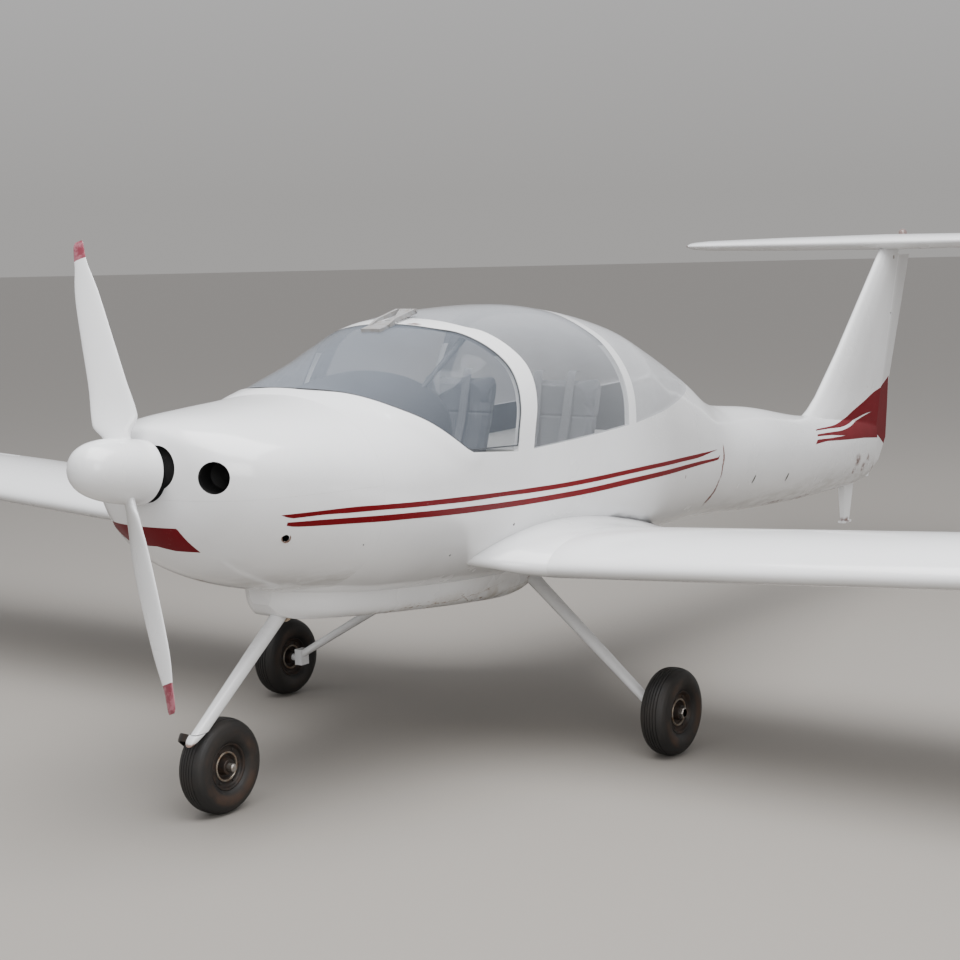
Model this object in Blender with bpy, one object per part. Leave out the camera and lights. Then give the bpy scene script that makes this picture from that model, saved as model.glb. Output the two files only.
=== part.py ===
# Two-seat composite motor glider with a T-tail and a fixed three-wheel gear.
# Units are metres. +X is the aircraft's left wing, -Y the nose, +Z up.
# Stations are measured aft from the spinner's tip, and at() turns them into Y.

import math

import bmesh
import bpy
from mathutils import Matrix, Vector

# Overall size
LENGTH = 7.28
MIDDLE = LENGTH / 2
GAP = 0.0003
SKIN_GAP = 0.0005
MOVING_GAP = 0.005

# Walls
WALL = 0.022
GLASS = 0.006
COWL_WALL = 0.010
BOOM_WALL = 0.012
TAIL_WALL = 0.008
CANOPY_GAP = 0.008

# Body sections. Columns: station, bottom, top, half width, height of the widest line,
# power of the upper quarter curve, power of the lower quarter curve.
BODY = [
    (0.318, 1.180, 1.405, 0.116, 1.295, 2.0, 2.0),
    (0.340, 1.095, 1.446, 0.215, 1.285, 2.1, 2.0),
    (0.390, 1.010, 1.466, 0.315, 1.275, 2.2, 2.0),
    (0.500, 0.915, 1.484, 0.405, 1.255, 2.3, 2.1),
    (0.700, 0.835, 1.498, 0.475, 1.220, 2.3, 2.1),
    (0.980, 0.770, 1.520, 0.535, 1.170, 2.25, 2.2),
    (1.080, 0.752, 1.548, 0.548, 1.160, 2.15, 2.25),
    (1.200, 0.730, 1.593, 0.560, 1.160, 2.05, 2.3),
    (1.400, 0.705, 1.662, 0.575, 1.180, 2.0, 2.35),
    (1.600, 0.685, 1.728, 0.587, 1.220, 2.15, 2.4),
    (1.800, 0.668, 1.772, 0.592, 1.260, 2.5, 2.5),
    (2.100, 0.652, 1.801, 0.590, 1.260, 2.6, 2.5),
    (2.350, 0.644, 1.808, 0.580, 1.240, 2.55, 2.5),
    (2.600, 0.640, 1.785, 0.560, 1.210, 2.5, 2.4),
    (3.050, 0.645, 1.706, 0.500, 1.130, 2.35, 2.3),
    (3.400, 0.655, 1.600, 0.430, 1.050, 2.2, 2.2),
    (3.800, 0.660, 1.445, 0.355, 0.980, 2.05, 2.1),
    (4.120, 0.650, 1.283, 0.300, 0.945, 2.0, 2.0),
    (4.350, 0.640, 1.215, 0.275, 0.925, 2.0, 2.0),
    (4.800, 0.610, 1.168, 0.235, 0.890, 2.0, 2.0),
    (5.550, 0.585, 1.055, 0.175, 0.825, 2.0, 2.0),
    (6.100, 0.583, 1.020, 0.120, 0.800, 2.0, 2.0),
    (6.500, 0.615, 0.980, 0.070, 0.795, 2.0, 2.0),
]
RING_STEPS = 32
FIREWALL = 0.980
CABIN_FRONT = 1.010
CABIN_REAR = 4.080
BOOM_REAR = 6.200
BODY_STATIONS = [0.98, 1.08, 1.20, 1.34, 1.48, 1.62, 1.76, 1.92, 2.12, 2.35, 2.60, 2.85, 3.05,
                 3.25, 3.45, 3.65, 3.85, 4.02, 4.18, 4.35, 4.60, 4.95, 5.35, 5.75, 6.15, 6.50]
COWL_STATIONS = [0.318, 0.326, 0.342, 0.368, 0.405, 0.460, 0.545, 0.660, 0.800, 0.9797]
COWL_SPLIT = 1.205

# Glazing cuts, seen from the side as lists of (station, height)
SCREEN_SILL = [(0.955, 1.700), (1.038, 1.536), (1.100, 1.522), (1.150, 1.497), (1.200, 1.467),
               (1.300, 1.409), (1.380, 1.346), (1.440, 1.297), (1.474, 1.277), (1.756, 1.254)]
ARCH_FRONT = [(1.756, 1.254), (1.774, 1.335), (1.803, 1.420), (1.822, 1.510), (1.822, 1.580),
              (1.800, 1.640), (1.755, 1.715), (1.690, 1.760), (1.600, 1.950)]
ARCH_WIDTH = 0.108
MIDDLE_SILL = [(1.864, 1.254), (2.290, 1.264), (2.670, 1.276)]
REAR_ARCH = [(2.670, 1.276), (2.695, 1.450), (2.660, 1.620), (2.580, 1.730), (2.480, 1.950)]
REAR_ARCH_WIDTH = 0.078
REAR_SILL = [(2.748, 1.278), (3.050, 1.296), (3.400, 1.322), (3.750, 1.360), (3.980, 1.420)]

# Thrust line: the spinner's tip, tilted nose up
TIP_HEIGHT = 1.345
THRUST_TILT = math.radians(8.6)
SPINNER_LENGTH = 0.300
SPINNER_RADIUS = 0.114
BLADE_STATION = 0.225
BLADE_ANGLE = math.radians(-20.7)
SHAFT_RADIUS = 0.030

# Wing sections. Columns: distance from the centre plane, leading edge station, its height,
# chord, thickness share, nose-up angle in degrees.
WING = [
    (0.720, 1.745, 0.800, 1.170, 0.150, 3.5),
    (1.600, 1.765, 0.846, 1.150, 0.150, 3.4),
    (3.000, 1.800, 0.920, 1.120, 0.148, 3.2),
    (5.300, 1.890, 1.045, 0.905, 0.141, 2.8),
    (7.750, 2.045, 1.182, 0.530, 0.128, 2.0),
    (8.020, 2.085, 1.197, 0.450, 0.115, 2.0),
    (8.120, 2.125, 1.203, 0.360, 0.095, 2.0),
    (8.165, 2.180, 1.206, 0.240, 0.060, 2.0),
]
WING_CAMBER = 0.040
FOIL_STEPS = 11
STUB = [
    (0.300, 1.560, 0.846, 1.700, 0.090, 3.0),
    (0.560, 1.640, 0.820, 1.430, 0.118, 3.2),
    (0.640, 1.702, 0.806, 1.258, 0.138, 3.4),
    (0.7197, 1.745, 0.800, 1.170, 0.150, 3.5),
]

# Ailerons and airbrakes, on the left wing and mirrored on the right
AILERON_SPAN = (5.300, 7.750)
AILERON_SHARE = 0.80
AIRBRAKE_SPAN = (3.050, 4.350)
AIRBRAKE_STATION = 2.335
AIRBRAKE_DEPTH = 0.095
AIRBRAKE_THICK = 0.020
AIRBRAKE_CAP = (0.050, 0.004)

# Tail
HINGE_LOW = (6.420, 0.640)
HINGE_HIGH = (6.900, 1.985)
RUDDER_NOSE = 0.034
RUDDER_TOP = 1.965
RUDDER_EDGE = [(6.470, 0.608), (6.640, 0.690), (6.748, 0.822), (6.790, 1.170), (7.112, 1.965)]
STABILISER_HEIGHT = 2.045
# Columns: distance from the centre plane, leading edge station, trailing edge station, thickness
STABILISER = [
    (0.000, 6.590, 7.280, 0.096),
    (0.700, 6.605, 7.240, 0.084),
    (1.245, 6.622, 7.195, 0.064),
    (1.345, 6.640, 7.170, 0.050),
    (1.385, 6.690, 7.130, 0.028),
]
ELEVATOR_HINGE = 7.085
ELEVATOR_HALF_SPAN = 1.240

# Wheels and gear
TYRE_RADIUS = 0.178
TYRE_HALF_WIDTH = 0.062
RIM_RADIUS = 0.088
WHEEL_STEPS = 24
AXLE_RADIUS = 0.016
NOSE_WHEEL = (0.0, 0.634)
MAIN_WHEEL = (1.030, 2.172)
FORK_PIVOT = (0.018, 0.480)

# Canopy hinge line, across the cabin above the roof arch
CANOPY_AXIS = (1.825, 1.797)

# Hinges of the control surfaces
HINGE_PLATE = 0.006
HINGE_PIN = 0.004
HINGE_HOLE = 0.0046
HINGE_EYE = 0.011
HINGE_BRACKET_HALF = 0.030

# Cabin floor and seats
FLOOR_TOP = 0.815
FLOOR_THICK = 0.015
SEAT_CENTRE = 0.275
SEAT_WIDTH = 0.46


def at(station):
    return station - MIDDLE


def colour_of(name, colour, roughness=0.4, metallic=0.0, alpha=1.0):
    """Return a material with one Principled shader."""
    material = bpy.data.materials.get(name)
    if material is None:
        material = bpy.data.materials.new(name)
        material.use_nodes = True
        shader = material.node_tree.nodes["Principled BSDF"]
        shader.inputs["Base Color"].default_value = (*colour, 1.0)
        shader.inputs["Roughness"].default_value = roughness
        shader.inputs["Metallic"].default_value = metallic
        shader.inputs["Alpha"].default_value = alpha
    return material


def white():
    return colour_of("white_gelcoat", (0.84, 0.85, 0.86), 0.25)


def glass():
    return colour_of("clear_glazing", (0.75, 0.80, 0.84), 0.08, 0.0, 0.35)


def black():
    return colour_of("black_rubber", (0.02, 0.02, 0.02), 0.85)


def steel():
    return colour_of("worn_steel", (0.45, 0.43, 0.40), 0.45, 0.9)


def grey():
    return colour_of("grey_trim", (0.12, 0.13, 0.14), 0.7)


def fabric():
    return colour_of("seat_fabric", (0.45, 0.46, 0.48), 0.9)


def add_mesh(name, points, faces, material, helper=False):
    """Make one object from points and faces, with its faces turned outward."""
    mesh = bpy.data.meshes.new(name)
    mesh.from_pydata([tuple(p) for p in points], [], faces)
    shape = bmesh.new()
    shape.from_mesh(mesh)
    bmesh.ops.remove_doubles(shape, verts=shape.verts, dist=1e-6)
    bmesh.ops.recalc_face_normals(shape, faces=shape.faces)
    shape.to_mesh(mesh)
    shape.free()
    mesh.shade_smooth()
    mesh.set_sharp_from_angle(angle=math.radians(35))
    thing = bpy.data.objects.new(name, mesh)
    bpy.context.scene.collection.objects.link(thing)
    if helper:
        thing.hide_render = True
        thing.display_type = "WIRE"
    else:
        mesh.materials.append(material)
    return thing


def loft(name, rings, material, helper=False, split=False):
    """Join rings of equally many points by quads, or by triangles if split, and close both ends."""
    count = len(rings[0])
    points = [p for ring in rings for p in ring]
    faces = []
    for row in range(len(rings) - 1):
        for step in range(count):
            a = row * count + step
            b = row * count + (step + 1) % count
            if split:
                faces.append((a, b, b + count))
                faces.append((a, b + count, a + count))
            else:
                faces.append((a, b, b + count, a + count))
    faces.append(tuple(range(count)))
    faces.append(tuple(range(len(points) - count, len(points))))
    return add_mesh(name, points, faces, material, helper)


def turned(name, profile, steps, material, helper=False):
    """Turn (along, radius) pairs about the local +Y axis into a closed solid."""
    rings = []
    for along, radius in profile:
        ring = []
        for step in range(steps):
            angle = 2 * math.pi * step / steps
            ring.append((radius * math.cos(angle), along, radius * math.sin(angle)))
        rings.append(ring)
    return loft(name, rings, material, helper)


def turned_ring(name, profile, steps, material, helper=False):
    """Turn a closed loop of (along, radius) pairs about the local X axis into a ring."""
    points = []
    faces = []
    count = len(profile)
    for step in range(steps):
        angle = 2 * math.pi * step / steps
        for along, radius in profile:
            points.append((along, radius * math.cos(angle), radius * math.sin(angle)))
    for step in range(steps):
        after = (step + 1) % steps
        for k in range(count):
            m = (k + 1) % count
            faces.append((step * count + k, step * count + m, after * count + m, after * count + k))
    return add_mesh(name, points, faces, material, helper)


def box(name, low, high, material=None, helper=False):
    """A box between two corners."""
    points = [(x, y, z) for x in (low[0], high[0]) for y in (low[1], high[1]) for z in (low[2], high[2])]
    faces = [(0, 1, 3, 2), (4, 6, 7, 5), (0, 4, 5, 1), (2, 3, 7, 6), (0, 2, 6, 4), (1, 5, 7, 3)]
    return add_mesh(name, points, faces, material, helper)


def prism_along_x(name, outline, low_x, high_x, material=None, helper=False):
    """Carry a side outline of (y, z) pairs from low_x to high_x."""
    rings = [[(x, y, z) for y, z in outline] for x in (low_x, high_x)]
    return loft(name, rings, material, helper)


def rod(name, start, end, radius, material, end_radius=None, steps=12, helper=False):
    """A straight round rod between two points."""
    start = Vector(start)
    end = Vector(end)
    if end_radius is None:
        end_radius = radius
    turn = (end - start).to_track_quat("Y", "Z").to_matrix()
    rings = []
    for centre, size in ((start, radius), (end, end_radius)):
        ring = []
        for step in range(steps):
            angle = 2 * math.pi * (step + 0.5) / steps
            ring.append(centre + turn @ Vector((size * math.cos(angle), 0, size * math.sin(angle))))
        rings.append(ring)
    return loft(name, rings, material, helper)


def cut(target, cutter, operation="DIFFERENCE"):
    """Add an exact Boolean to the target."""
    step = target.modifiers.new(cutter.name, "BOOLEAN")
    step.operation = operation
    step.solver = "EXACT"
    step.object = cutter


def smooth_value(column, station):
    """Read one body column at a station, by a monotone cubic between the rows."""
    rows = BODY
    if station <= rows[0][0]:
        return rows[0][column]
    if station >= rows[-1][0]:
        return rows[-1][column]
    slopes = [(b[column] - a[column]) / (b[0] - a[0]) for a, b in zip(rows, rows[1:])]
    k = max(i for i, row in enumerate(rows[:-1]) if row[0] <= station)

    def tangent(i):
        if i == 0:
            return slopes[0]
        if i == len(rows) - 1:
            return slopes[-1]
        before, after = slopes[i - 1], slopes[i]
        if before * after <= 0:
            return 0.0
        return 2 * before * after / (before + after)

    span = rows[k + 1][0] - rows[k][0]
    t = (station - rows[k][0]) / span
    low, high = rows[k][column], rows[k + 1][column]
    return ((2 * t ** 3 - 3 * t ** 2 + 1) * low + (t ** 3 - 2 * t ** 2 + t) * span * tangent(k)
            + (3 * t ** 2 - 2 * t ** 3) * high + (t ** 3 - t ** 2) * span * tangent(k + 1))


def body_ring(station, inset=0.0):
    """One body section: two quarter superellipses a side, drawn inward by inset."""
    bottom, top, half, wide, upper, lower = (smooth_value(c, station) for c in range(1, 7))
    half -= inset
    top -= inset
    bottom += inset
    ring = []
    for step in range(RING_STEPS):
        angle = 2 * math.pi * (step + 0.5) / RING_STEPS
        across = math.cos(angle)
        rise = math.sin(angle)
        power = upper if rise > 0 else lower
        reach = top - wide if rise > 0 else wide - bottom
        x = half * math.copysign(abs(across) ** (2 / power), across)
        z = wide + reach * math.copysign(abs(rise) ** (2 / power), rise)
        ring.append((x, at(station), z))
    return ring


def body_loft(name, stations, inset, material=None, helper=True):
    return loft(name, [body_ring(s, inset) for s in stations], material, helper, split=True)


def foil(chord, thickness, camber, steps=FOIL_STEPS):
    """Closed outline of a cambered four-digit section, as (aft, up) pairs from the trailing edge."""
    peak = 0.4
    upper = []
    lower = []
    for k in range(steps + 1):
        x = (1 - math.cos(math.pi * k / steps)) / 2
        half = 5 * thickness * (0.2969 * math.sqrt(x) - 0.1260 * x - 0.3516 * x * x
                                + 0.2843 * x ** 3 - 0.1015 * x ** 4)
        if x < peak:
            line = camber / peak ** 2 * (2 * peak * x - x * x)
        else:
            line = camber / (1 - peak) ** 2 * (1 - 2 * peak + 2 * peak * x - x * x)
        upper.append((x * chord, (line + half) * chord))
        lower.append((x * chord, (line - half) * chord))
    return upper[::-1] + lower[1:]


def wing_ring(row, side, camber=WING_CAMBER):
    """One wing section in its place."""
    across, front, height, chord, thickness, angle = row
    turn = math.radians(angle)
    ring = []
    for aft, up in foil(chord, thickness, camber):
        y = front + aft * math.cos(turn) + up * math.sin(turn)
        z = height + up * math.cos(turn) - aft * math.sin(turn)
        ring.append((side * across, at(y), z))
    return ring


def between_rows(rows, value):
    """Linear blend of two table rows at a value of the first column."""
    for a, b in zip(rows, rows[1:]):
        if a[0] <= value <= b[0]:
            t = (value - a[0]) / (b[0] - a[0])
            return tuple(p + t * (q - p) for p, q in zip(a, b))
    return rows[-1]


def side_polygon(edges, inset):
    """Join side outlines into one polygon of (y, z), moved inward by inset."""
    points = [Vector((at(s), z)) for s, z in edges]
    area = sum(a.x * b.y - b.x * a.y for a, b in zip(points, points[1:] + points[:1]))
    turn = 1 if area > 0 else -1
    result = []
    count = len(points)
    for k in range(count):
        before = (points[k] - points[k - 1]).normalized()
        after = (points[(k + 1) % count] - points[k]).normalized()
        normal_a = Vector((-before.y, before.x)) * turn
        normal_b = Vector((-after.y, after.x)) * turn
        bisector = (normal_a + normal_b).normalized()
        shift = inset / max(0.3, bisector.dot(normal_a))
        moved = points[k] + bisector * shift
        result.append((moved.x, moved.y))
    return result


def shifted(line, aft):
    return [(s + aft, z) for s, z in line]


def screen_outline():
    return SCREEN_SILL + ARCH_FRONT[1:]


def middle_outline():
    front = shifted(ARCH_FRONT, ARCH_WIDTH)
    return MIDDLE_SILL[1:] + REAR_ARCH[1:] + front[::-1]


def rear_outline():
    front = shifted(REAR_ARCH, REAR_ARCH_WIDTH)
    return REAR_SILL + [(4.060, 1.950)] + front[::-1][:-1]


def glazing_cutter(name, outline, inset):
    return prism_along_x(name, side_polygon(outline, inset), -0.8, 0.8, helper=True)


def glazing_panel(name, outline, inset, front, rear):
    """A curved panel with the body's own outer surface, between two stations."""
    stations = [front] + [s for s in BODY_STATIONS if front < s < rear] + [rear]
    panel = body_loft(name, stations, 0.0, glass(), helper=False)
    inner = body_loft(name + "_inside", stations, GLASS)
    stretch_ends(inner, front, rear)
    cut(panel, inner)
    cut(panel, glazing_cutter(name + "_outline", outline, inset), "INTERSECT")
    return panel


def clear_scene():
    for thing in list(bpy.data.objects):
        bpy.data.objects.remove(thing, do_unlink=True)


def move_origin(thing, place):
    """Put an object's origin at a place, leaving its mesh where it is."""
    place = Vector(place)
    thing.data.transform(Matrix.Translation(-place))
    thing.location = place


def make_fuselage():
    """Body shell from firewall to rudder post, with fin, wing stubs, cabin and openings."""
    body = body_loft("fuselage", BODY_STATIONS, 0.0, white(), helper=False)
    for side in (1, -1):
        stub = loft(f"stub_{side}", [wing_ring(row, side) for row in STUB], None, helper=True)
        cut(body, stub, "UNION")
    cut(body, make_fin_solid(), "UNION")
    stations = [CABIN_FRONT] + [s for s in BODY_STATIONS if CABIN_FRONT < s < CABIN_REAR] + [CABIN_REAR]
    cut(body, body_loft("cabin_space", stations, WALL))
    boom = [3.95] + [s for s in BODY_STATIONS if 3.95 < s < BOOM_REAR] + [BOOM_REAR]
    cut(body, body_loft("boom_space", boom, BOOM_WALL))
    cut(body, glazing_cutter("screen_opening", screen_outline(), 0.0))
    cut(body, glazing_cutter("middle_opening", middle_outline(), 0.0))
    cut(body, glazing_cutter("rear_opening", rear_outline(), 0.0))
    cut(body, rudder_room())
    cut(body, loft("stabiliser_seat", stabiliser_rings(GAP), None, helper=True))
    return body


def hinge_station(height):
    """Station of the rudder's hinge line at a height."""
    low_s, low_z = HINGE_LOW
    high_s, high_z = HINGE_HIGH
    return low_s + (high_s - low_s) * (height - low_z) / (high_z - low_z)


def fin_ring(height, front, rear, half):
    """A level fin section: rounded front, widest near a third, straight to the rear."""
    shape = [(0.0, 0.0), (0.02, 0.35), (0.08, 0.62), (0.20, 0.88), (0.38, 1.0), (0.62, 0.95), (1.0, 0.72)]
    left = [(half * w, at(front + (rear - front) * t), height) for t, w in shape]
    right = [(-x, y, z) for x, y, z in left[1:]]
    return left + right[::-1]


def make_fin_solid():
    rows = [
        (0.900, 5.300, 6.600, 0.070),
        (1.020, 5.480, 6.640, 0.068),
        (1.075, 5.620, 6.660, 0.064),
        (1.150, 5.735, 6.700, 0.058),
        (1.384, 6.010, 6.800, 0.050),
        (2.030, 6.700, 7.020, 0.036),
    ]
    return loft("fin_solid", [fin_ring(*row) for row in rows], None, helper=True)


def rudder_room():
    """Everything behind the fin post, a rounded nose's depth ahead of the hinge line."""
    ahead = RUDDER_NOSE + MOVING_GAP
    low, high = 0.45, 2.3
    outline = [(at(hinge_station(low) - ahead), low), (at(7.6), low), (at(7.6), high),
               (at(hinge_station(high) - ahead), high)]
    return prism_along_x("rudder_room", outline, -0.4, 0.4, helper=True)


def rudder_edge_station(height):
    """Station of the rudder's trailing edge at a height."""
    rows = [(z, s) for s, z in RUDDER_EDGE]
    return between_rows(rows, max(height, rows[0][0]))[1]


def make_rudder():
    """Rudder with a round nose on the hinge line and a thin trailing edge."""
    rings = []
    for height in (0.612, 0.660, 0.720, 0.822, 1.000, 1.170, 1.550, RUDDER_TOP):
        axis = hinge_station(height)
        half = RUDDER_NOSE - 0.008 * (height - 0.6) / 1.4
        edge = rudder_edge_station(height)
        ring = []
        for step in range(9):
            angle = math.pi / 2 + math.pi * step / 8
            ring.append((half * math.sin(angle), at(axis + half * math.cos(angle)), height))
        rings.append(ring + [(-0.0015, at(edge), height), (0.0015, at(edge), height)])
    return loft("rudder", rings, white())


def span_rows(rows, limit):
    """The rows of one half span inside a limit, with a blended row at the limit."""
    kept = [row for row in rows if row[0] < limit - 1e-6]
    return kept + [between_rows(rows, limit)]


def stabiliser_rings(grow=0.0):
    """Full tailplane sections from tip to tip, made thicker by grow on each face."""
    rings = []
    for side, rows in ((-1, STABILISER[:0:-1]), (1, STABILISER)):
        for across, front, rear, thick in rows:
            chord = rear - front
            outline = foil(chord, (thick + 2 * grow) / chord, 0.0, 10)
            rings.append([(side * across, at(front + a), STABILISER_HEIGHT + u) for a, u in outline])
    return rings


def elevator_nose(row):
    """Half thickness of the tailplane section at the elevator's hinge."""
    across, front, rear, thick = row
    chord = rear - front
    return section_half(chord, thick / chord, (ELEVATOR_HINGE - front) / chord)


def elevator_rings():
    rings = []
    half_rows = span_rows(STABILISER, ELEVATOR_HALF_SPAN)
    for side, rows in ((-1, half_rows[:0:-1]), (1, half_rows)):
        for row in rows:
            across, front, rear, thick = row
            half = elevator_nose(row)
            ring = []
            for step in range(9):
                angle = math.pi / 2 + math.pi * step / 8
                ring.append((side * across, at(ELEVATOR_HINGE + half * math.cos(angle)),
                             STABILISER_HEIGHT + half * math.sin(angle)))
            chord = rear - front
            share = ((ELEVATOR_HINGE - front) / chord + 1) / 2
            middle = section_half(chord, thick / chord, share)
            aft = front + share * chord
            ring.append((side * across, at(aft), STABILISER_HEIGHT - middle))
            ring.append((side * across, at(rear), STABILISER_HEIGHT - 0.001))
            ring.append((side * across, at(rear), STABILISER_HEIGHT + 0.001))
            ring.append((side * across, at(aft), STABILISER_HEIGHT + middle))
            rings.append(ring)
    return rings


def section_half(chord, thickness, x):
    """Half thickness of the section at a share x of its chord."""
    return chord * 5 * thickness * (0.2969 * math.sqrt(x) - 0.1260 * x - 0.3516 * x * x
                                    + 0.2843 * x ** 3 - 0.1015 * x ** 4)


def hinge_parts(name, centre, axis, aft):
    """Plate, notch, pin and hole of one surface hinge, in one local frame."""
    axis = Vector(axis).normalized()
    aft = (Vector(aft) - Vector(aft).dot(axis) * axis).normalized()
    up = axis.cross(aft)
    frame = Matrix((axis, aft, up)).transposed().to_4x4()
    frame.translation = Vector(centre)
    plate = HINGE_PLATE / 2
    notch = plate + MOVING_GAP
    eye = HINGE_EYE
    pieces = {
        "plate": box(name + "_plate", (-plate, -0.075, -eye), (plate, eye, eye), helper=True),
        "notch": box(name + "_notch", (-notch, -0.200, -0.2), (notch, eye + MOVING_GAP, 0.2), helper=True),
        "pin": rod(name + "_pin", (-notch - 0.004, 0, 0), (notch + 0.004, 0, 0), HINGE_PIN, None,
                   helper=True),
        "hole": rod(name + "_hole", (-notch, 0, 0), (notch, 0, 0), HINGE_HOLE, None, steps=24, helper=True),
    }
    for piece in pieces.values():
        piece.matrix_world = frame
    return pieces


def add_hinge(fixed, moving, name, centre, axis, aft):
    """Carry a control surface on a plate of the fixed part, through a notch and a pin."""
    pieces = hinge_parts(name, centre, axis, aft)
    cut(fixed, pieces["plate"], "UNION")
    cut(fixed, pieces["hole"])
    cut(moving, pieces["notch"])
    cut(moving, pieces["pin"], "UNION")


def make_tail(body):
    rudder = make_rudder()
    low = Vector((0, at(HINGE_LOW[0]), HINGE_LOW[1]))
    high = Vector((0, at(HINGE_HIGH[0]), HINGE_HIGH[1]))
    for count, height in enumerate((0.900, 1.600)):
        centre = (0, at(hinge_station(height)), height)
        add_hinge(body, rudder, f"rudder_hinge_{count}", centre, high - low, (0, 1, 0))
    move_origin_after = (0, at(HINGE_LOW[0]), HINGE_LOW[1])
    move_origin(rudder, move_origin_after)
    stabiliser = loft("stabiliser", stabiliser_rings(), white())
    nose = elevator_nose(STABILISER[0])
    reach = ELEVATOR_HALF_SPAN + MOVING_GAP
    cut(stabiliser, box("elevator_room", (-reach, at(ELEVATOR_HINGE) - nose - MOVING_GAP, 1.8),
                        (reach, at(7.6), 2.3), helper=True))
    hollow = loft("stabiliser_space", stabiliser_rings(-TAIL_WALL), None, helper=True)
    reach_box = box("stabiliser_space_limit", (-1.200, at(6.700), 1.8), (1.200, at(6.950), 2.3), helper=True)
    mouth = box("stabiliser_mouth", (-0.550, at(6.900), 1.8), (0.550, at(7.3), 2.3), helper=True)
    cut(reach_box, mouth, "UNION")
    cut(hollow, reach_box, "INTERSECT")
    cut(stabiliser, hollow)
    elevator = loft("elevator", elevator_rings(), white())
    for count, across in enumerate((-0.62, 0.62)):
        centre = (across, at(ELEVATOR_HINGE), STABILISER_HEIGHT)
        add_hinge(stabiliser, elevator, f"elevator_hinge_{count}", centre, (1, 0, 0), (0, 1, 0))
    move_origin(elevator, (0, at(ELEVATOR_HINGE), STABILISER_HEIGHT))


def make_tail_skid():
    """Bumper under the tail: a tapered post on a small bolted foot."""
    rings = []
    for height, front, rear, half in ((0.700, 6.070, 6.250, 0.020), (0.560, 6.085, 6.215, 0.018),
                                      (0.370, 6.105, 6.170, 0.014), (0.368, 6.092, 6.184, 0.022),
                                      (0.356, 6.092, 6.184, 0.022)):
        rings.append([(-half, at(front), height), (half, at(front), height),
                      (half, at(rear), height), (-half, at(rear), height)])
    skid = loft("tail_skid", rings, white())
    cut(skid, body_clearance())


def body_clearance():
    """The body's outer surface, a hair proud, for cutting what sits on it."""
    found = bpy.data.objects.get("body_clearance")
    if found is not None:
        return found
    stations = COWL_STATIONS[:-1] + BODY_STATIONS
    return body_loft("body_clearance", stations, -SKIN_GAP)


def make_belly_fairing():
    """Shallow pan under the cabin that takes the nose leg and both main legs."""
    rows = [
        (0.885, 0.060, 0.040, 0.860, 0.738),
        (0.915, 0.105, 0.068, 0.860, 0.700),
        (0.975, 0.150, 0.100, 0.840, 0.676),
        (1.110, 0.205, 0.150, 0.800, 0.661),
        (1.500, 0.262, 0.205, 0.760, 0.626),
        (1.900, 0.285, 0.220, 0.740, 0.592),
        (2.250, 0.268, 0.196, 0.720, 0.570),
        (2.430, 0.218, 0.138, 0.700, 0.580),
        (2.560, 0.120, 0.070, 0.700, 0.636),
    ]
    rings = []
    for station, upper, lower, top, bottom in rows:
        soft = 0.3 * (top - bottom)
        middle = lower + 0.72 * (upper - lower)
        side = [(upper, top), (upper, bottom + 2 * soft), (middle, bottom + 0.75 * soft), (lower, bottom)]
        ring = [(x, at(station), z) for x, z in side] + [(-x, at(station), z) for x, z in side[::-1]]
        rings.append(ring)
    fairing = loft("belly_fairing", rings, white())
    cut(fairing, body_clearance())
    return fairing


def oval_rod(name, start, end, start_size, end_size, material, helper=False, grow=0.0, steps=14):
    """A straight leg of oval section. A size is (across the flow, along the flow)."""
    start = Vector(start)
    end = Vector(end)
    run = (end - start).normalized()
    along = Vector((0, 1, 0))
    along = (along - along.dot(run) * run).normalized()
    across = run.cross(along)
    rings = []
    for centre, (wide, deep) in ((start - run * grow, start_size), (end + run * grow, end_size)):
        ring = []
        for step in range(steps):
            angle = 2 * math.pi * (step + 0.5) / steps
            ring.append(centre + across * (wide / 2 + grow) * math.cos(angle)
                        + along * (deep / 2 + grow) * math.sin(angle))
        rings.append(ring)
    return loft(name, rings, material, helper)


def make_main_gear(fairing):
    for side, hand in ((1, "left"), (-1, "right")):
        x, station = MAIN_WHEEL
        start = (side * 0.190, at(2.369), 0.664)
        end = (side * 0.932, at(station), 0.196)
        leg = oval_rod(f"main_leg_{hand}", start, end, (0.050, 0.070), (0.034, 0.046), white())
        socket = oval_rod(f"main_socket_{hand}", start, end, (0.050, 0.070), (0.034, 0.046), None,
                          helper=True, grow=SKIN_GAP)
        cut(fairing, socket)
        cut(leg, body_clearance())
        axle = rod(f"main_axle_{hand}_core", (side * 0.915, at(station), TYRE_RADIUS),
                   (side * (x + 0.062), at(station), TYRE_RADIUS), AXLE_RADIUS, None, steps=24, helper=True)
        block = box(f"main_axle_{hand}_block", (side * 0.932 - 0.020, at(station) - 0.026, 0.150),
                    (side * 0.932 + 0.020, at(station) + 0.026, 0.222), helper=True)
        cut(leg, block, "UNION")
        cut(leg, axle, "UNION")
        make_wheel(hand, (side * x, station))


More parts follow.
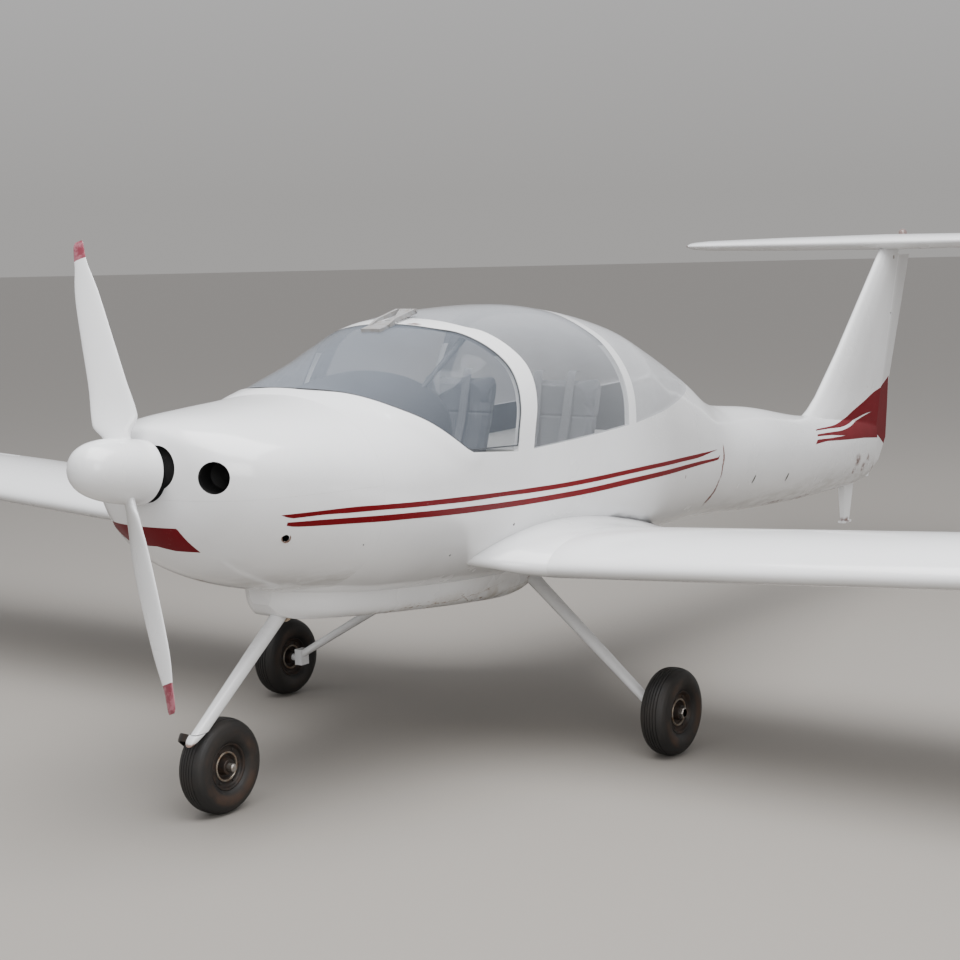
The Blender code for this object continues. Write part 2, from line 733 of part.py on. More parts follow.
def make_nose_gear(fairing):
    """Raked leg, castering fork with one arm on the right, and the nose wheel."""
    top = Vector((0.018, at(1.050), 0.749))
    foot = Vector((0.036, at(0.506), 0.341))
    leg = oval_rod("nose_leg", top, foot, (0.056, 0.060), (0.042, 0.046), white())
    cut(fairing, oval_rod("nose_socket", top, foot, (0.056, 0.060), (0.042, 0.046), None, helper=True,
                          grow=SKIN_GAP))
    cut(leg, body_clearance())
    px, ps = FORK_PIVOT
    head = rod("nose_head", (px, at(ps), 0.330), (px, at(ps), 0.356), 0.021, None, steps=20, helper=True)
    cut(leg, head, "UNION")
    cut(leg, box("nose_head_floor", (-0.1, at(0.40), 0.2), (0.1, at(0.60), 0.336), helper=True))
    kingpin = rod("nose_kingpin", (px, at(ps), 0.298), (px, at(ps), 0.350), 0.0110, None, steps=24,
                  helper=True)
    cut(leg, kingpin, "UNION")
    fork = prism_along_x("nose_fork", [(at(0.464), 0.296), (at(0.482), 0.296), (at(0.499), 0.3310),
                                       (at(0.464), 0.3310)], -0.014, 0.042, black())
    cut(fork, rod("nose_fork_collar", (px, at(ps), 0.325), (px, at(ps), 0.3352), 0.018, None, steps=24,
                  helper=True), "UNION")
    rings = []
    for x, station, height, half in ((-0.006, 0.479, 0.314, 0.015), (-0.046, 0.488, 0.311, 0.016),
                                     (-0.074, 0.512, 0.298, 0.016), (-0.084, 0.560, 0.262, 0.020),
                                     (-0.087, 0.634, 0.178, 0.024), (-0.087, 0.650, 0.160, 0.010)):
        rings.append((x, station, height, half))
    arm = bent_arm("nose_fork_arm", rings, 0.006)
    cut(fork, arm, "UNION")
    ws = NOSE_WHEEL[1]
    axle = rod("nose_axle", (-0.092, at(ws), TYRE_RADIUS), (0.074, at(ws), TYRE_RADIUS), AXLE_RADIUS, None,
               steps=24, helper=True)
    cut(fork, axle, "UNION")
    cut(fork, rod("nose_kingpin_hole", (px, at(ps), 0.280), (px, at(ps), 0.345), 0.0116, None,
                  steps=24, helper=True))
    make_wheel("nose", NOSE_WHEEL)


def bent_arm(name, stops, half_thick):
    """A flat bar through (x, station, height, half depth) stops, its depth square to the path."""
    places = [Vector((0, at(stop[1]), stop[2])) for stop in stops]
    rings = []
    for k, (x, station, height, half) in enumerate(stops):
        run = (places[min(k + 1, len(places) - 1)] - places[max(k - 1, 0)]).normalized()
        square = Vector((0, -run.z, run.y)) * half
        centre = places[k]
        ring = []
        for across, turn in ((-half_thick, -1), (half_thick, -1), (half_thick, 1), (-half_thick, 1)):
            ring.append((x + across, centre.y + turn * square.y, centre.z + turn * square.z))
        rings.append(ring)
    return loft(name, rings, None, helper=True)


def make_wheel(name, place):
    """Tyre and hub on one axle along X."""
    x, station = place
    half = TYRE_HALF_WIDTH
    middle = (TYRE_RADIUS + RIM_RADIUS) / 2
    reach = TYRE_RADIUS - middle - GAP
    tyre_loop = []
    for step in range(12):
        angle = 2 * math.pi * step / 12
        across = math.copysign(abs(math.cos(angle)) ** 0.7, math.cos(angle))
        out = math.copysign(abs(math.sin(angle)) ** 0.85, math.sin(angle))
        tyre_loop.append((half * across, middle + GAP + reach * out))
    tyre = turned_ring(f"{name}_tyre", tyre_loop, WHEEL_STEPS, black())
    tyre.location = (x, at(station), TYRE_RADIUS)
    bore = AXLE_RADIUS + 0.0006
    rim = RIM_RADIUS + 0.0002
    hub_loop = [(-0.048, bore), (-0.048, 0.030), (-0.020, 0.036), (-0.020, 0.066), (-0.036, 0.074),
                (-0.040, rim), (0.040, rim), (0.036, 0.074), (0.020, 0.066), (0.020, 0.036), (0.048, 0.030),
                (0.048, bore)]
    hub = turned_ring(f"{name}_hub", hub_loop, WHEEL_STEPS, steel())
    hub.location = (x, at(station), TYRE_RADIUS)


def make_cowling():
    for name, low, high in (("cowling_upper", COWL_SPLIT + GAP, 1.7), ("cowling_lower", 0.5, COWL_SPLIT)):
        shell = body_loft(name, COWL_STATIONS, 0.0, white(), helper=False)
        inside = body_loft(name + "_inside", COWL_STATIONS, COWL_WALL)
        stretch_ends(inside, COWL_STATIONS[0], COWL_STATIONS[-1])
        half = box(name + "_half", (-0.8, at(0.1), low), (0.8, at(1.3), high), helper=True)
        cut(shell, half, "INTERSECT")
        cut(shell, inside)
        for side in (1, -1):
            hole = rod(f"{name}_inlet_{side}", (side * 0.330, at(0.281), 1.290),
                       (side * 0.205, at(0.498), 1.280), 0.056, None, steps=20, helper=True)
            cut(shell, hole)


def stretch_ends(thing, front, rear):
    """Push a cutter's end rings past the ends of what it cuts."""
    for vertex in thing.data.vertices:
        if abs(vertex.co.y - at(front)) < 1e-5:
            vertex.co.y -= 0.02
        if abs(vertex.co.y - at(rear)) < 1e-5:
            vertex.co.y += 0.02


def thrust_frame(station):
    """Place on the thrust line, with local +Y running aft along it."""
    turn = Matrix.Rotation(-THRUST_TILT, 4, "X")
    start = Vector((0, at(0.0), TIP_HEIGHT))
    return Matrix.Translation(start + turn.to_3x3() @ Vector((0, station, 0))) @ turn


def make_engine():
    """One plain block behind the cowling, with the propeller shaft on the thrust line."""
    block = box("engine_block", (-0.28, at(0.530), 1.010), (0.28, at(FIREWALL) - GAP, 1.380), grey())
    shaft = rod("engine_shaft", (0, SPINNER_LENGTH - 0.060, 0), (0, 0.620, 0), SHAFT_RADIUS, None, steps=24,
                helper=True)
    shaft.matrix_world = thrust_frame(0.0)
    cut(block, shaft, "UNION")


def make_propeller():
    profile = [(0.0, 0.004), (0.003, 0.026), (0.012, 0.049), (0.036, 0.075), (0.080, 0.095), (0.145, 0.108),
               (0.220, 0.1135), (SPINNER_LENGTH, SPINNER_RADIUS)]
    spinner = turned("spinner", profile, 32, white())
    bore = rod("spinner_bore", (0, SPINNER_LENGTH - 0.070, 0), (0, SPINNER_LENGTH + 0.02, 0),
               SHAFT_RADIUS + 0.0006, None, steps=24, helper=True)
    cut(spinner, bore)
    spinner.matrix_world = thrust_frame(0.0)
    bore.matrix_world = thrust_frame(0.0)
    for name, turn in (("blade_upper", BLADE_ANGLE), ("blade_lower", BLADE_ANGLE + math.pi)):
        place = thrust_frame(BLADE_STATION) @ Matrix.Rotation(turn, 4, "Y")
        blade = make_blade(name, 0.0, white(), False)
        blade.matrix_world = place
        socket = make_blade(name + "_socket", GAP, None, True)
        socket.matrix_world = place
        cut(spinner, socket)


# Blade sections. Columns: distance from the thrust line, chord, its middle's shift along the
# chord, thickness, twist in degrees.
BLADE = [
    (0.060, 0.090, 0.000, 0.036, 36),
    (0.116, 0.090, 0.000, 0.036, 36),
    (0.184, 0.160, 0.004, 0.030, 33),
    (0.316, 0.141, 0.002, 0.024, 22),
    (0.489, 0.121, -0.004, 0.018, 16),
    (0.640, 0.099, -0.009, 0.014, 13),
    (0.700, 0.081, -0.010, 0.012, 12),
    (0.767, 0.054, -0.009, 0.010, 11),
    (0.838, 0.044, -0.003, 0.008, 10),
    (0.850, 0.036, 0.000, 0.006, 10),
]


def make_blade(name, grow, material, helper):
    """One blade along local +Z, twisted from root to tip."""
    rings = []
    for height, chord, shift, thick, twist in BLADE:
        turn = math.radians(twist)
        ring = []
        for step in range(12):
            angle = 2 * math.pi * step / 12
            a = shift + (chord / 2 + grow) * math.cos(angle)
            b = (thick / 2 + grow) * math.sin(angle)
            place = height - grow if height == BLADE[0][0] else height
            x = a * math.cos(turn) - b * math.sin(turn)
            y = a * math.sin(turn) + b * math.cos(turn)
            ring.append((x, y, place))
        rings.append(ring)
    return loft(name, rings, material, helper)


def surface_hinge_point(across):
    """Aileron hinge point and nose radius at a distance from the centre plane."""
    row = between_rows(WING, across)
    x, front, height, chord, thickness, angle = row
    turn = math.radians(angle)
    aft = AILERON_SHARE * chord
    line = camber_at(AILERON_SHARE) * chord
    y = front + aft * math.cos(turn) + line * math.sin(turn)
    z = height + line * math.cos(turn) - aft * math.sin(turn)
    return Vector((across, at(y), z)), section_half(chord, thickness, AILERON_SHARE) * 0.97


def camber_at(x, peak=0.4):
    return WING_CAMBER / (1 - peak) ** 2 * (1 - 2 * peak + 2 * peak * x - x * x)


def aileron_ring(across, side):
    """Round nose on the hinge line, then the wing's own rear outline."""
    row = between_rows(WING, across)
    x, front, height, chord, thickness, angle = row
    turn = math.radians(angle)
    centre, half = surface_hinge_point(across)
    ring = []
    for step in range(9):
        tilt = math.pi / 2 + math.pi * step / 8 - turn
        ring.append((side * across, centre.y + half * math.cos(tilt), centre.z + half * math.sin(tilt)))
    for share, face in ((0.90, -1), (1.0, -1), (1.0, 1), (0.90, 1)):
        up = camber_at(share) * chord + face * max(0.0008, section_half(chord, thickness, share) * 0.97)
        aft = share * chord
        y = front + aft * math.cos(turn) + up * math.sin(turn)
        z = height + up * math.cos(turn) - aft * math.sin(turn)
        ring.append((side * across, at(y), z))
    return ring


def upper_surface(across, station):
    """Height of the wing's upper surface at a place."""
    row = between_rows(WING, across)
    x, front, height, chord, thickness, angle = row
    turn = math.radians(angle)
    share = (station - front) / chord / math.cos(turn)
    peak = 0.4
    if share < peak:
        line = WING_CAMBER / peak ** 2 * (2 * peak * share - share * share)
    else:
        line = camber_at(share)
    up = line * chord + section_half(chord, thickness, share)
    return height + up * math.cos(turn) - share * chord * math.sin(turn)


def span_block(name, side, spread, half_depth, low, high, material=None, helper=True):
    """A bar along the span that follows the upper surface, from low to high above it."""
    rings = []
    for end, outward in zip(AIRBRAKE_SPAN, (-1, 1)):
        base = upper_surface(end, AIRBRAKE_STATION)
        y = at(AIRBRAKE_STATION)
        x = side * (end + outward * spread)
        rings.append([(x, y - half_depth, base + low), (x, y + half_depth, base + low),
                      (x, y + half_depth, base + high), (x, y - half_depth, base + high)])
    return loft(name, rings, material, helper)


def make_wings():
    cap_width, cap_thick = AIRBRAKE_CAP
    for side, hand in ((1, "left"), (-1, "right")):
        wing = loft(f"wing_{hand}", [wing_ring(row, side) for row in WING], white())
        inner, outer = AILERON_SPAN
        start, start_half = surface_hinge_point(inner)
        end, end_half = surface_hinge_point(outer)
        plan = []
        for x, y in ((inner, start.y - start_half - MOVING_GAP), (outer, end.y - end_half - MOVING_GAP),
                     (outer, at(3.4)), (inner, at(3.4))):
            plan.append((side * x, y))
        rings = [[(x, y, z) for x, y in plan] for z in (0.7, 1.6)]
        cut(wing, loft(f"aileron_room_{hand}", rings, None, helper=True))
        aileron_rows = [inner + MOVING_GAP, outer - MOVING_GAP]
        aileron = loft(f"aileron_{hand}", [aileron_ring(x, side) for x in aileron_rows], white())
        start.x *= side
        end.x *= side
        for count, share in enumerate((0.2, 0.8)):
            centre = start.lerp(end, share)
            add_hinge(wing, aileron, f"aileron_hinge_{hand}_{count}", centre, end - start, (0, 1, 0))
        move_origin(aileron, start)
        half = AIRBRAKE_THICK / 2
        pocket = span_block(f"airbrake_pocket_{hand}", side, 0.005, half + MOVING_GAP,
                            -AIRBRAKE_DEPTH - 0.010, 0.08)
        cut(wing, pocket)
        recess = span_block(f"airbrake_recess_{hand}", side, 0.013, cap_width / 2 + 0.001,
                            -cap_thick - 0.0004 - 0.0015, 0.08)
        cut(wing, recess)
        blade = span_block(f"airbrake_{hand}", side, 0.0, half, -AIRBRAKE_DEPTH, -0.002, white(), False)
        cap = span_block(f"airbrake_cap_{hand}", side, 0.012, cap_width / 2, -cap_thick - 0.0015, -0.0015)
        cut(blade, cap, "UNION")


def make_glazing():
    glazing_panel("canopy_glass", screen_outline(), CANOPY_GAP, 0.985, 1.95)
    glazing_panel("middle_glazing", middle_outline(), GAP, 1.50, 2.90)
    glazing_panel("rear_glazing", rear_outline(), GAP, 2.40, 4.20)


def make_canopy_frame():
    """Rim inside the screen's edge: the body wall's depth, hollowed inside the rim's width."""
    stations = [0.985] + [s for s in BODY_STATIONS if 0.985 < s < 1.95] + [1.95]
    frame = body_loft("canopy_frame", stations, GLASS + SKIN_GAP, grey(), helper=False)
    inner = body_loft("canopy_frame_inside", stations, WALL)
    stretch_ends(inner, 0.985, 1.95)
    cut(frame, inner)
    cut(frame, glazing_cutter("canopy_frame_outer", screen_outline(), CANOPY_GAP + 0.001), "INTERSECT")
    cut(frame, glazing_cutter("canopy_frame_window", screen_outline(), CANOPY_GAP + 0.019))
    relief = [(1.764, 1.6925), (1.750, 1.7020), (1.684, 1.7480), (1.660, 1.8000), (1.820, 1.8000),
              (1.820, 1.6925)]
    cut(frame, prism_along_x("canopy_frame_relief", [(at(s), z) for s, z in relief], -0.8, 0.8, helper=True))


def make_canopy_hinge():
    """Low bracket on the roof arch with a pin, and a strap on the screen with two eyes."""
    axis_s, axis_z = CANOPY_AXIS
    outline = [(1.722, 1.700), (1.722, 1.765), (1.790, 1.780), (1.8225, 1.8078), (1.8355, 1.7955),
               (1.825, 1.7862), (1.810, 1.783), (1.800, 1.700)]
    half = HINGE_BRACKET_HALF
    bracket = prism_along_x("canopy_hinge", [(at(s), z) for s, z in outline], -half, half, white())
    centre_y = at(axis_s)
    cut(bracket, body_clearance())
    cut(bracket, rod("canopy_hinge_eye", (-half, centre_y, axis_z), (half, centre_y, axis_z), HINGE_EYE,
                     None, steps=20, helper=True), "UNION")
    inner = half + 0.007
    outer = inner + 0.014
    cut(bracket, rod("canopy_hinge_pin", (-outer - 0.006, centre_y, axis_z), (outer + 0.006, centre_y, axis_z),
                     HINGE_PIN, None, helper=True), "UNION")
    plate = [(1.590, 1.680), (1.590, 1.7365), (1.672, 1.7560), (1.690, 1.7640), (1.688, 1.680)]
    leaf = prism_along_x("canopy_hinge_leaf", [(at(s), z) for s, z in plate], 0.002 - outer, outer - 0.002,
                         white())
    arm = [(1.660, 1.735), (1.686, 1.7600), (1.825, 1.7862), (1.832, 1.8055), (1.822, 1.8078),
           (1.690, 1.7740), (1.640, 1.7500)]
    for side in (1, -1):
        low, high = sorted((side * inner, side * outer))
        cut(leaf, prism_along_x(f"canopy_arm_{side}", [(at(s), z) for s, z in arm], low, high, helper=True),
            "UNION")
        cut(leaf, rod(f"canopy_arm_eye_{side}", (low, centre_y, axis_z), (high, centre_y, axis_z),
                      HINGE_EYE, None, steps=20, helper=True), "UNION")
        low, high = sorted((side * (inner - 0.004), side * (outer + 0.02)))
        cut(leaf, rod(f"canopy_arm_hole_{side}", (low, centre_y, axis_z), (high, centre_y, axis_z),
                      HINGE_HOLE, None, steps=24, helper=True))
    cut(leaf, body_clearance())


def inside_cabin(thing, inset=WALL + SKIN_GAP, rear=CABIN_REAR):
    """Keep only what lies inside the cabin walls."""
    name = f"cabin_fit_{round(inset * 10000)}"
    limit = bpy.data.objects.get(name)
    if limit is None:
        stations = [CABIN_FRONT + GAP] + [s for s in BODY_STATIONS if CABIN_FRONT < s < rear] + [rear - GAP]
        limit = body_loft(name, stations, inset)
    cut(thing, limit, "INTERSECT")


def make_cabin():
    floor = box("cabin_floor", (-0.6, at(1.012), FLOOR_TOP - FLOOR_THICK), (0.6, at(2.560), FLOOR_TOP), grey())
    inside_cabin(floor)
    bulkhead = prism_along_x("rear_bulkhead", [(at(2.562), 0.60), (at(2.580), 0.60), (at(2.700), 1.120),
                                               (at(3.300), 1.160), (at(3.300), 1.178), (at(2.684), 1.138)],
                             -0.7, 0.7, grey())
    inside_cabin(bulkhead)
    panel = prism_along_x("instrument_panel", [(at(1.400), 0.960), (at(1.425), 0.960), (at(1.458), 1.285),
                                               (at(1.433), 1.285)], -0.7, 0.7, grey())
    inside_cabin(panel)
    face = prism_along_x("panel_face", [(at(1.430), 1.250), (at(1.455), 1.250), (at(1.472), 1.400),
                                        (at(1.447), 1.400)], -0.7, 0.7, helper=True)
    hood_rings = []
    for station, half, top in ((1.060, 0.400, 1.430), (1.250, 0.420, 1.470), (1.420, 0.420, 1.500),
                               (1.500, 0.400, 1.500)):
        ring = []
        for step in range(9):
            angle = math.pi * step / 8
            ring.append((half * math.cos(angle), at(station), 1.330 + (top - 1.330) * math.sin(angle) ** 0.8))
        for step in range(9):
            angle = math.pi - math.pi * step / 8
            ring.append((0.96 * half * math.cos(angle), at(station),
                         1.318 + (top - 1.330) * math.sin(angle) ** 0.8))
        hood_rings.append(ring)
    hood = loft("glare_shield", hood_rings, None, helper=True)
    cut(face, hood, "UNION")
    inside_cabin(face, inset=WALL + 0.008)
    cut(panel, face, "UNION")
    box("centre_console", (-0.047, at(1.480), FLOOR_TOP + GAP), (0.047, at(1.980), 1.000), grey())
    for side, hand in ((1, "left"), (-1, "right")):
        centre = side * SEAT_CENTRE
        half = SEAT_WIDTH / 2 - 0.004
        cushion = seat_block(f"seat_cushion_{hand}", centre, half, [
            (1.850, FLOOR_TOP + GAP), (2.290, FLOOR_TOP + GAP), (2.330, 0.905), (1.860, 0.985), (1.835, 0.960)])
        inside_cabin(cushion, inset=WALL + 0.008)
        back = seat_block(f"seat_back_{hand}", centre, half, [
            (2.340, FLOOR_TOP + GAP), (2.440, FLOOR_TOP + GAP), (2.580, 1.300), (2.590, 1.480),
            (2.530, 1.500), (2.500, 1.320), (2.336, 0.920)])
        inside_cabin(back, inset=WALL + 0.008)
        stick = rod(f"control_stick_{hand}", (centre, at(1.700), FLOOR_TOP + GAP),
                    (centre, at(1.700), FLOOR_TOP + 0.045), 0.034, grey(), 0.020)
        shank = rod(f"stick_shank_{hand}", (centre, at(1.701), FLOOR_TOP + 0.010), (centre, at(1.740), 1.130),
                    0.012, None, 0.010, helper=True)
        cut(stick, shank, "UNION")
        grip = rod(f"stick_grip_{hand}", (centre, at(1.737), 1.090), (centre, at(1.755), 1.220), 0.018, None,
                   0.015, helper=True)
        cut(stick, grip, "UNION")
    rod("roof_strut", (0.300, at(1.8104), 1.6926), (0.280, at(1.505), 1.478), 0.014, grey(), 0.009)


def seat_block(name, centre, half, outline):
    points = [(at(s), z) for s, z in outline]
    return prism_along_x(name, points, centre - half, centre + half, fabric())


def make_beacon():
    top = STABILISER_HEIGHT + 0.030
    beacon = turned("beacon", [(0.0, 0.028), (0.030, 0.028), (0.045, 0.020), (0.052, 0.008)], 16,
                    colour_of("red_lamp", (0.5, 0.1, 0.08), 0.3))
    beacon.matrix_world = Matrix.Translation((0, at(7.012), top)) @ Matrix.Rotation(math.pi / 2, 4, "X")
    seat = loft("beacon_seat", stabiliser_rings(GAP), None, helper=True)
    cut(beacon, seat)


def main():
    clear_scene()
    body = make_fuselage()
    make_cowling()
    make_engine()
    make_glazing()
    make_canopy_frame()
    make_canopy_hinge()
    make_cabin()
    make_propeller()
    make_wings()
    make_tail(body)
    make_tail_skid()
    make_beacon()
    fairing = make_belly_fairing()
    make_main_gear(fairing)
    make_nose_gear(fairing)


main()
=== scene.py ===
# %% [markdown]
# # A parked two-seat motor glider
#
# The real aircraft is a white glass-fibre machine with a low wing of great span, a T-tail, a
# two-blade propeller and a bubble canopy over two seats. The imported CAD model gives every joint
# and every main form. This lesson builds the finished surfaces around it, in the same frame:
# +X is the aircraft's left wing, -Y its nose, +Z up, all in metres.

# %% Load the fixed frame
import math

import bmesh
import bpy
import numpy as np
from mathutils import Matrix, Vector


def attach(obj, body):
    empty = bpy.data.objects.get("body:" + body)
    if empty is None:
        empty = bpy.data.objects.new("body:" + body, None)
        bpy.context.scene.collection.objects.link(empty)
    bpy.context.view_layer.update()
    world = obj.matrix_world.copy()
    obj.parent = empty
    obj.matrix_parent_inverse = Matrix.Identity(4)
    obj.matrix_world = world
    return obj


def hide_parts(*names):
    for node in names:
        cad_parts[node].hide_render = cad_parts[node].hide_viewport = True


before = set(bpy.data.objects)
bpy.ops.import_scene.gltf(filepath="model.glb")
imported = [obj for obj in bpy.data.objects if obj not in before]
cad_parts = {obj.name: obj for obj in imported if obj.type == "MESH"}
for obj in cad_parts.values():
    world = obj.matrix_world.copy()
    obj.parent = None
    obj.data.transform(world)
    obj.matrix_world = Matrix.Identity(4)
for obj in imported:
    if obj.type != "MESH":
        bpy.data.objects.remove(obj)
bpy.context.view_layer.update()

SCENE = bpy.context.scene

# %% [markdown]
# ## The camera
#
# The photograph was taken from ahead of the left wing, a little above eye height. Its place,
# aim and lens were worked out from points of the aircraft whose places are known, so the render
# lies over the photograph. The three directions below are the camera's own axes.

# %% Place the camera
CAMERA_PLACE = (4.61728821, -7.79704, 2.02160459)
CAMERA_RIGHT = (0.8157038, 0.5780632, -0.0216850)
CAMERA_DOWN = (0.0528983, -0.1118695, -0.9923140)
CAMERA_FORWARD = (-0.5760461, 0.8082872, -0.1218309)
camera_data = bpy.data.cameras.new("photo_camera")
camera_data.sensor_width = 36.0
camera_data.lens = 68.8586
camera_data.clip_end = 300.0
camera = bpy.data.objects.new("photo_camera", camera_data)
SCENE.collection.objects.link(camera)
camera_axes = np.array([CAMERA_RIGHT, -np.array(CAMERA_DOWN), -np.array(CAMERA_FORWARD)]).T
camera.matrix_world = Matrix.Translation(CAMERA_PLACE) @ Matrix(camera_axes.tolist()).to_4x4()
SCENE.camera = camera
print("camera lens:", camera_data.lens)

# %% [markdown]
# ## Tools for surfaces
#
# Nearly every part of an aircraft is a row of cross sections joined into a skin. A grid of
# points holds it: one row for each section, one column for each place round the section.
# Whole arrays are worked out at once, and one helper turns a grid into a closed mesh.

# %% Grids, pieces and Booleans
MIDDLE = 3.64          # station of the frame's origin, counted from the spinner's tip
WORK = []              # cutting shapes, removed at the end
SIDES = ((1, "left"), (-1, "right"))


def at(station):
    """Y of a station, which is a distance aft of the spinner's tip."""
    return station - MIDDLE


def quads(rows, columns, close_rows=False, close_columns=False):
    """Corner numbers of a grid's faces: each point with its next in the row and in the column."""
    r, c = np.meshgrid(np.arange(rows if close_rows else rows - 1),
                       np.arange(columns if close_columns else columns - 1), indexing="ij")
    below, beside = (r + 1) % rows, (c + 1) % columns
    corners = (r * columns + c, r * columns + beside, below * columns + beside, below * columns + c)
    return np.stack(corners, -1).reshape(-1, 4).tolist()


def smooth_except(mesh, sharp):
    """Smooth shading, with the edges that bend more than sharp degrees kept crisp."""
    mesh.shade_smooth()
    mesh.set_sharp_from_angle(angle=math.radians(sharp))


def cleaned(mesh, merge=0.0, outward=True):
    """Merge points nearer than merge, drop empty faces and turn the faces outward."""
    shape = bmesh.new()
    shape.from_mesh(mesh)
    if merge:
        bmesh.ops.remove_doubles(shape, verts=shape.verts, dist=merge)
        bmesh.ops.dissolve_degenerate(shape, edges=shape.edges, dist=1e-7)
    if outward:
        bmesh.ops.recalc_face_normals(shape, faces=shape.faces)
    shape.to_mesh(mesh)
    shape.free()


def mesh_object(name, points, faces, finish=None, sharp=32.0, outward=True):
    """One object from points and faces. One without a finish is a cutting shape."""
    mesh = bpy.data.meshes.new(name)
    mesh.from_pydata(np.asarray(points, float).reshape(-1, 3).tolist(), [], faces)
    cleaned(mesh, 2e-6, outward)
    smooth_except(mesh, sharp)
    thing = bpy.data.objects.new(name, mesh)
    SCENE.collection.objects.link(thing)
    if finish is None:
        thing.hide_render = True
        WORK.append(thing)
    else:
        mesh.materials.append(finish)
    return thing


def capped(rows, columns):
    """Faces of sections whose columns close on themselves, with a cap on the first and the last."""
    ends = [list(range(columns)), list(range((rows - 1) * columns, rows * columns))]
    return quads(rows, columns, close_columns=True) + ends


def skin(name, grid, finish=None, sharp=32.0):
    """Closed solid from sections, with both ends capped."""
    return mesh_object(name, grid, capped(*grid.shape[:2]), finish, sharp)


def ring_skin(name, grid, finish=None, sharp=32.0):
    """A solid closed both ways, such as a tyre or a tube with a wall."""
    return mesh_object(name, grid, quads(*grid.shape[:2], True, True), finish, sharp)


def several(name, grids, finish, sharp=32.0):
    """One object from many small closed skins."""
    faces, start = [], 0
    for grid in grids:
        faces += [[start + k for k in face] for face in capped(*grid.shape[:2])]
        start += grid.shape[0] * grid.shape[1]
    return mesh_object(name, np.vstack([grid.reshape(-1, 3) for grid in grids]), faces, finish, sharp)


def sheet(name, grid, finish, thickness):
    """An open grid given a wall by Solidify, half to each side."""
    thing = mesh_object(name, grid, quads(*grid.shape[:2]), finish, outward=False)
    wall = thing.modifiers.new("wall", "SOLIDIFY")
    wall.thickness = thickness
    wall.offset = 0.0
    settle(thing)
    cleaned(thing.data)
    smooth_except(thing.data, 50)
    return thing


def settle(thing, sharp=None):
    """Write the result of an object's modifiers into its mesh."""
    graph = bpy.context.evaluated_depsgraph_get()
    made = bpy.data.meshes.new_from_object(thing.evaluated_get(graph))
    thing.modifiers.clear()
    thing.data = made
    if sharp is not None:
        smooth_except(made, sharp)
    return thing


def carve(thing, cutters, how="DIFFERENCE", sharp=32.0):
    """Exact Booleans with each cutter in turn."""
    for cutter in cutters:
        step = thing.modifiers.new("carve", "BOOLEAN")
        step.operation = how
        step.solver = "EXACT"
        step.object = cutter
    return settle(thing, sharp)


def block(low, high, place=None):
    """Cutting box between two corners, in the frame of place."""
    corner = np.array([low, high], float)
    pick = np.array([[i, j, k] for i in (0, 1) for j in (0, 1) for k in (0, 1)])
    points = np.take_along_axis(corner, pick, 0)
    if place is not None:
        points = points @ np.array(place)[:3, :3].T + np.array(place)[:3, 3]
    faces = [(0, 1, 3, 2), (4, 6, 7, 5), (0, 4, 5, 1), (2, 3, 7, 6), (0, 2, 6, 4), (1, 5, 7, 3)]
    return mesh_object("block", points, faces)


def prism(outline, low_x, high_x):
    """Cutting prism: a side outline of (station, height) carried across from low_x to high_x."""
    outline = np.asarray(outline, float)
    x = np.array([[low_x], [high_x]]) + 0 * outline[:, 0]
    return skin("prism", np.stack([x, at(outline[:, 0]) + 0 * x, outline[:, 1] + 0 * x], -1))


def round_angles(steps, shift=0.0):
    """Angles of evenly spaced points round a circle."""
    return 2 * np.pi * (np.arange(steps) + shift) / steps


def fuller(wave, power):
    """A sine or cosine raised to a power with its sign kept, which squares up an oval."""
    return np.sign(wave) * np.abs(wave) ** power


def turned(profile, steps):
    """Grid of a profile of (along, radius) turned about +Y: x = r cos a, y = along, z = r sin a."""
    profile = np.asarray(profile, float)
    angle = round_angles(steps)
    along, radius = profile[:, :1], profile[:, 1:2]
    return np.stack([radius * np.cos(angle), along + 0 * angle, radius * np.sin(angle)], -1)


def moved(grid, place):
    """A grid carried into the frame of a 4x4 place."""
    place = np.array(place)
    return grid @ place[:3, :3].T + place[:3, 3]


def aim(start, end):
    """A frame at start whose +Y runs to end."""
    start, end = Vector(start), Vector(end)
    return Matrix.Translation(start) @ (end - start).to_track_quat("Y", "Z").to_matrix().to_4x4()


def turned_skin(name, profile, steps, start, end, finish=None):
    """Capped solid of a profile turned about the line from start towards end."""
    return skin(name, moved(turned(profile, steps), aim(start, end)), finish)


def bar(name, start, end, radius, finish=None, steps=32, rim=0.0):
    """A round rod, with its rims broken by a small chamfer where rim is given."""
    length = (Vector(end) - Vector(start)).length
    profile = [(0, radius), (length, radius)]
    if rim:
        profile = [(0, radius - rim), (rim, radius), (length - rim, radius), (length, radius - rim)]
    return turned_skin(name, profile, steps, start, end, finish)


def closed_tube(name, path, radius, finish, steps):
    """Round tube along a closed path: each point gets a circle square to the path's own direction."""
    run = np.roll(path, -1, 0) - np.roll(path, 1, 0)
    run /= np.linalg.norm(run, axis=1)[:, None] + 1e-12
    side = np.cross(run, [0.31, 0.17, 0.94])
    side /= np.linalg.norm(side, axis=1)[:, None] + 1e-12
    lift = np.cross(run, side)
    angle = round_angles(steps)[:, None]
    grid = path[:, None] + radius * (np.cos(angle) * side[:, None] + np.sin(angle) * lift[:, None])
    return ring_skin(name, grid, finish, 80)


def done(thing, body, slot, *nodes):
    """Say which body carries a piece and which CAD nodes it stands for. The slot argument is not used."""
    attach(thing, body)
    if nodes:
        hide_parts(*nodes)
    return thing


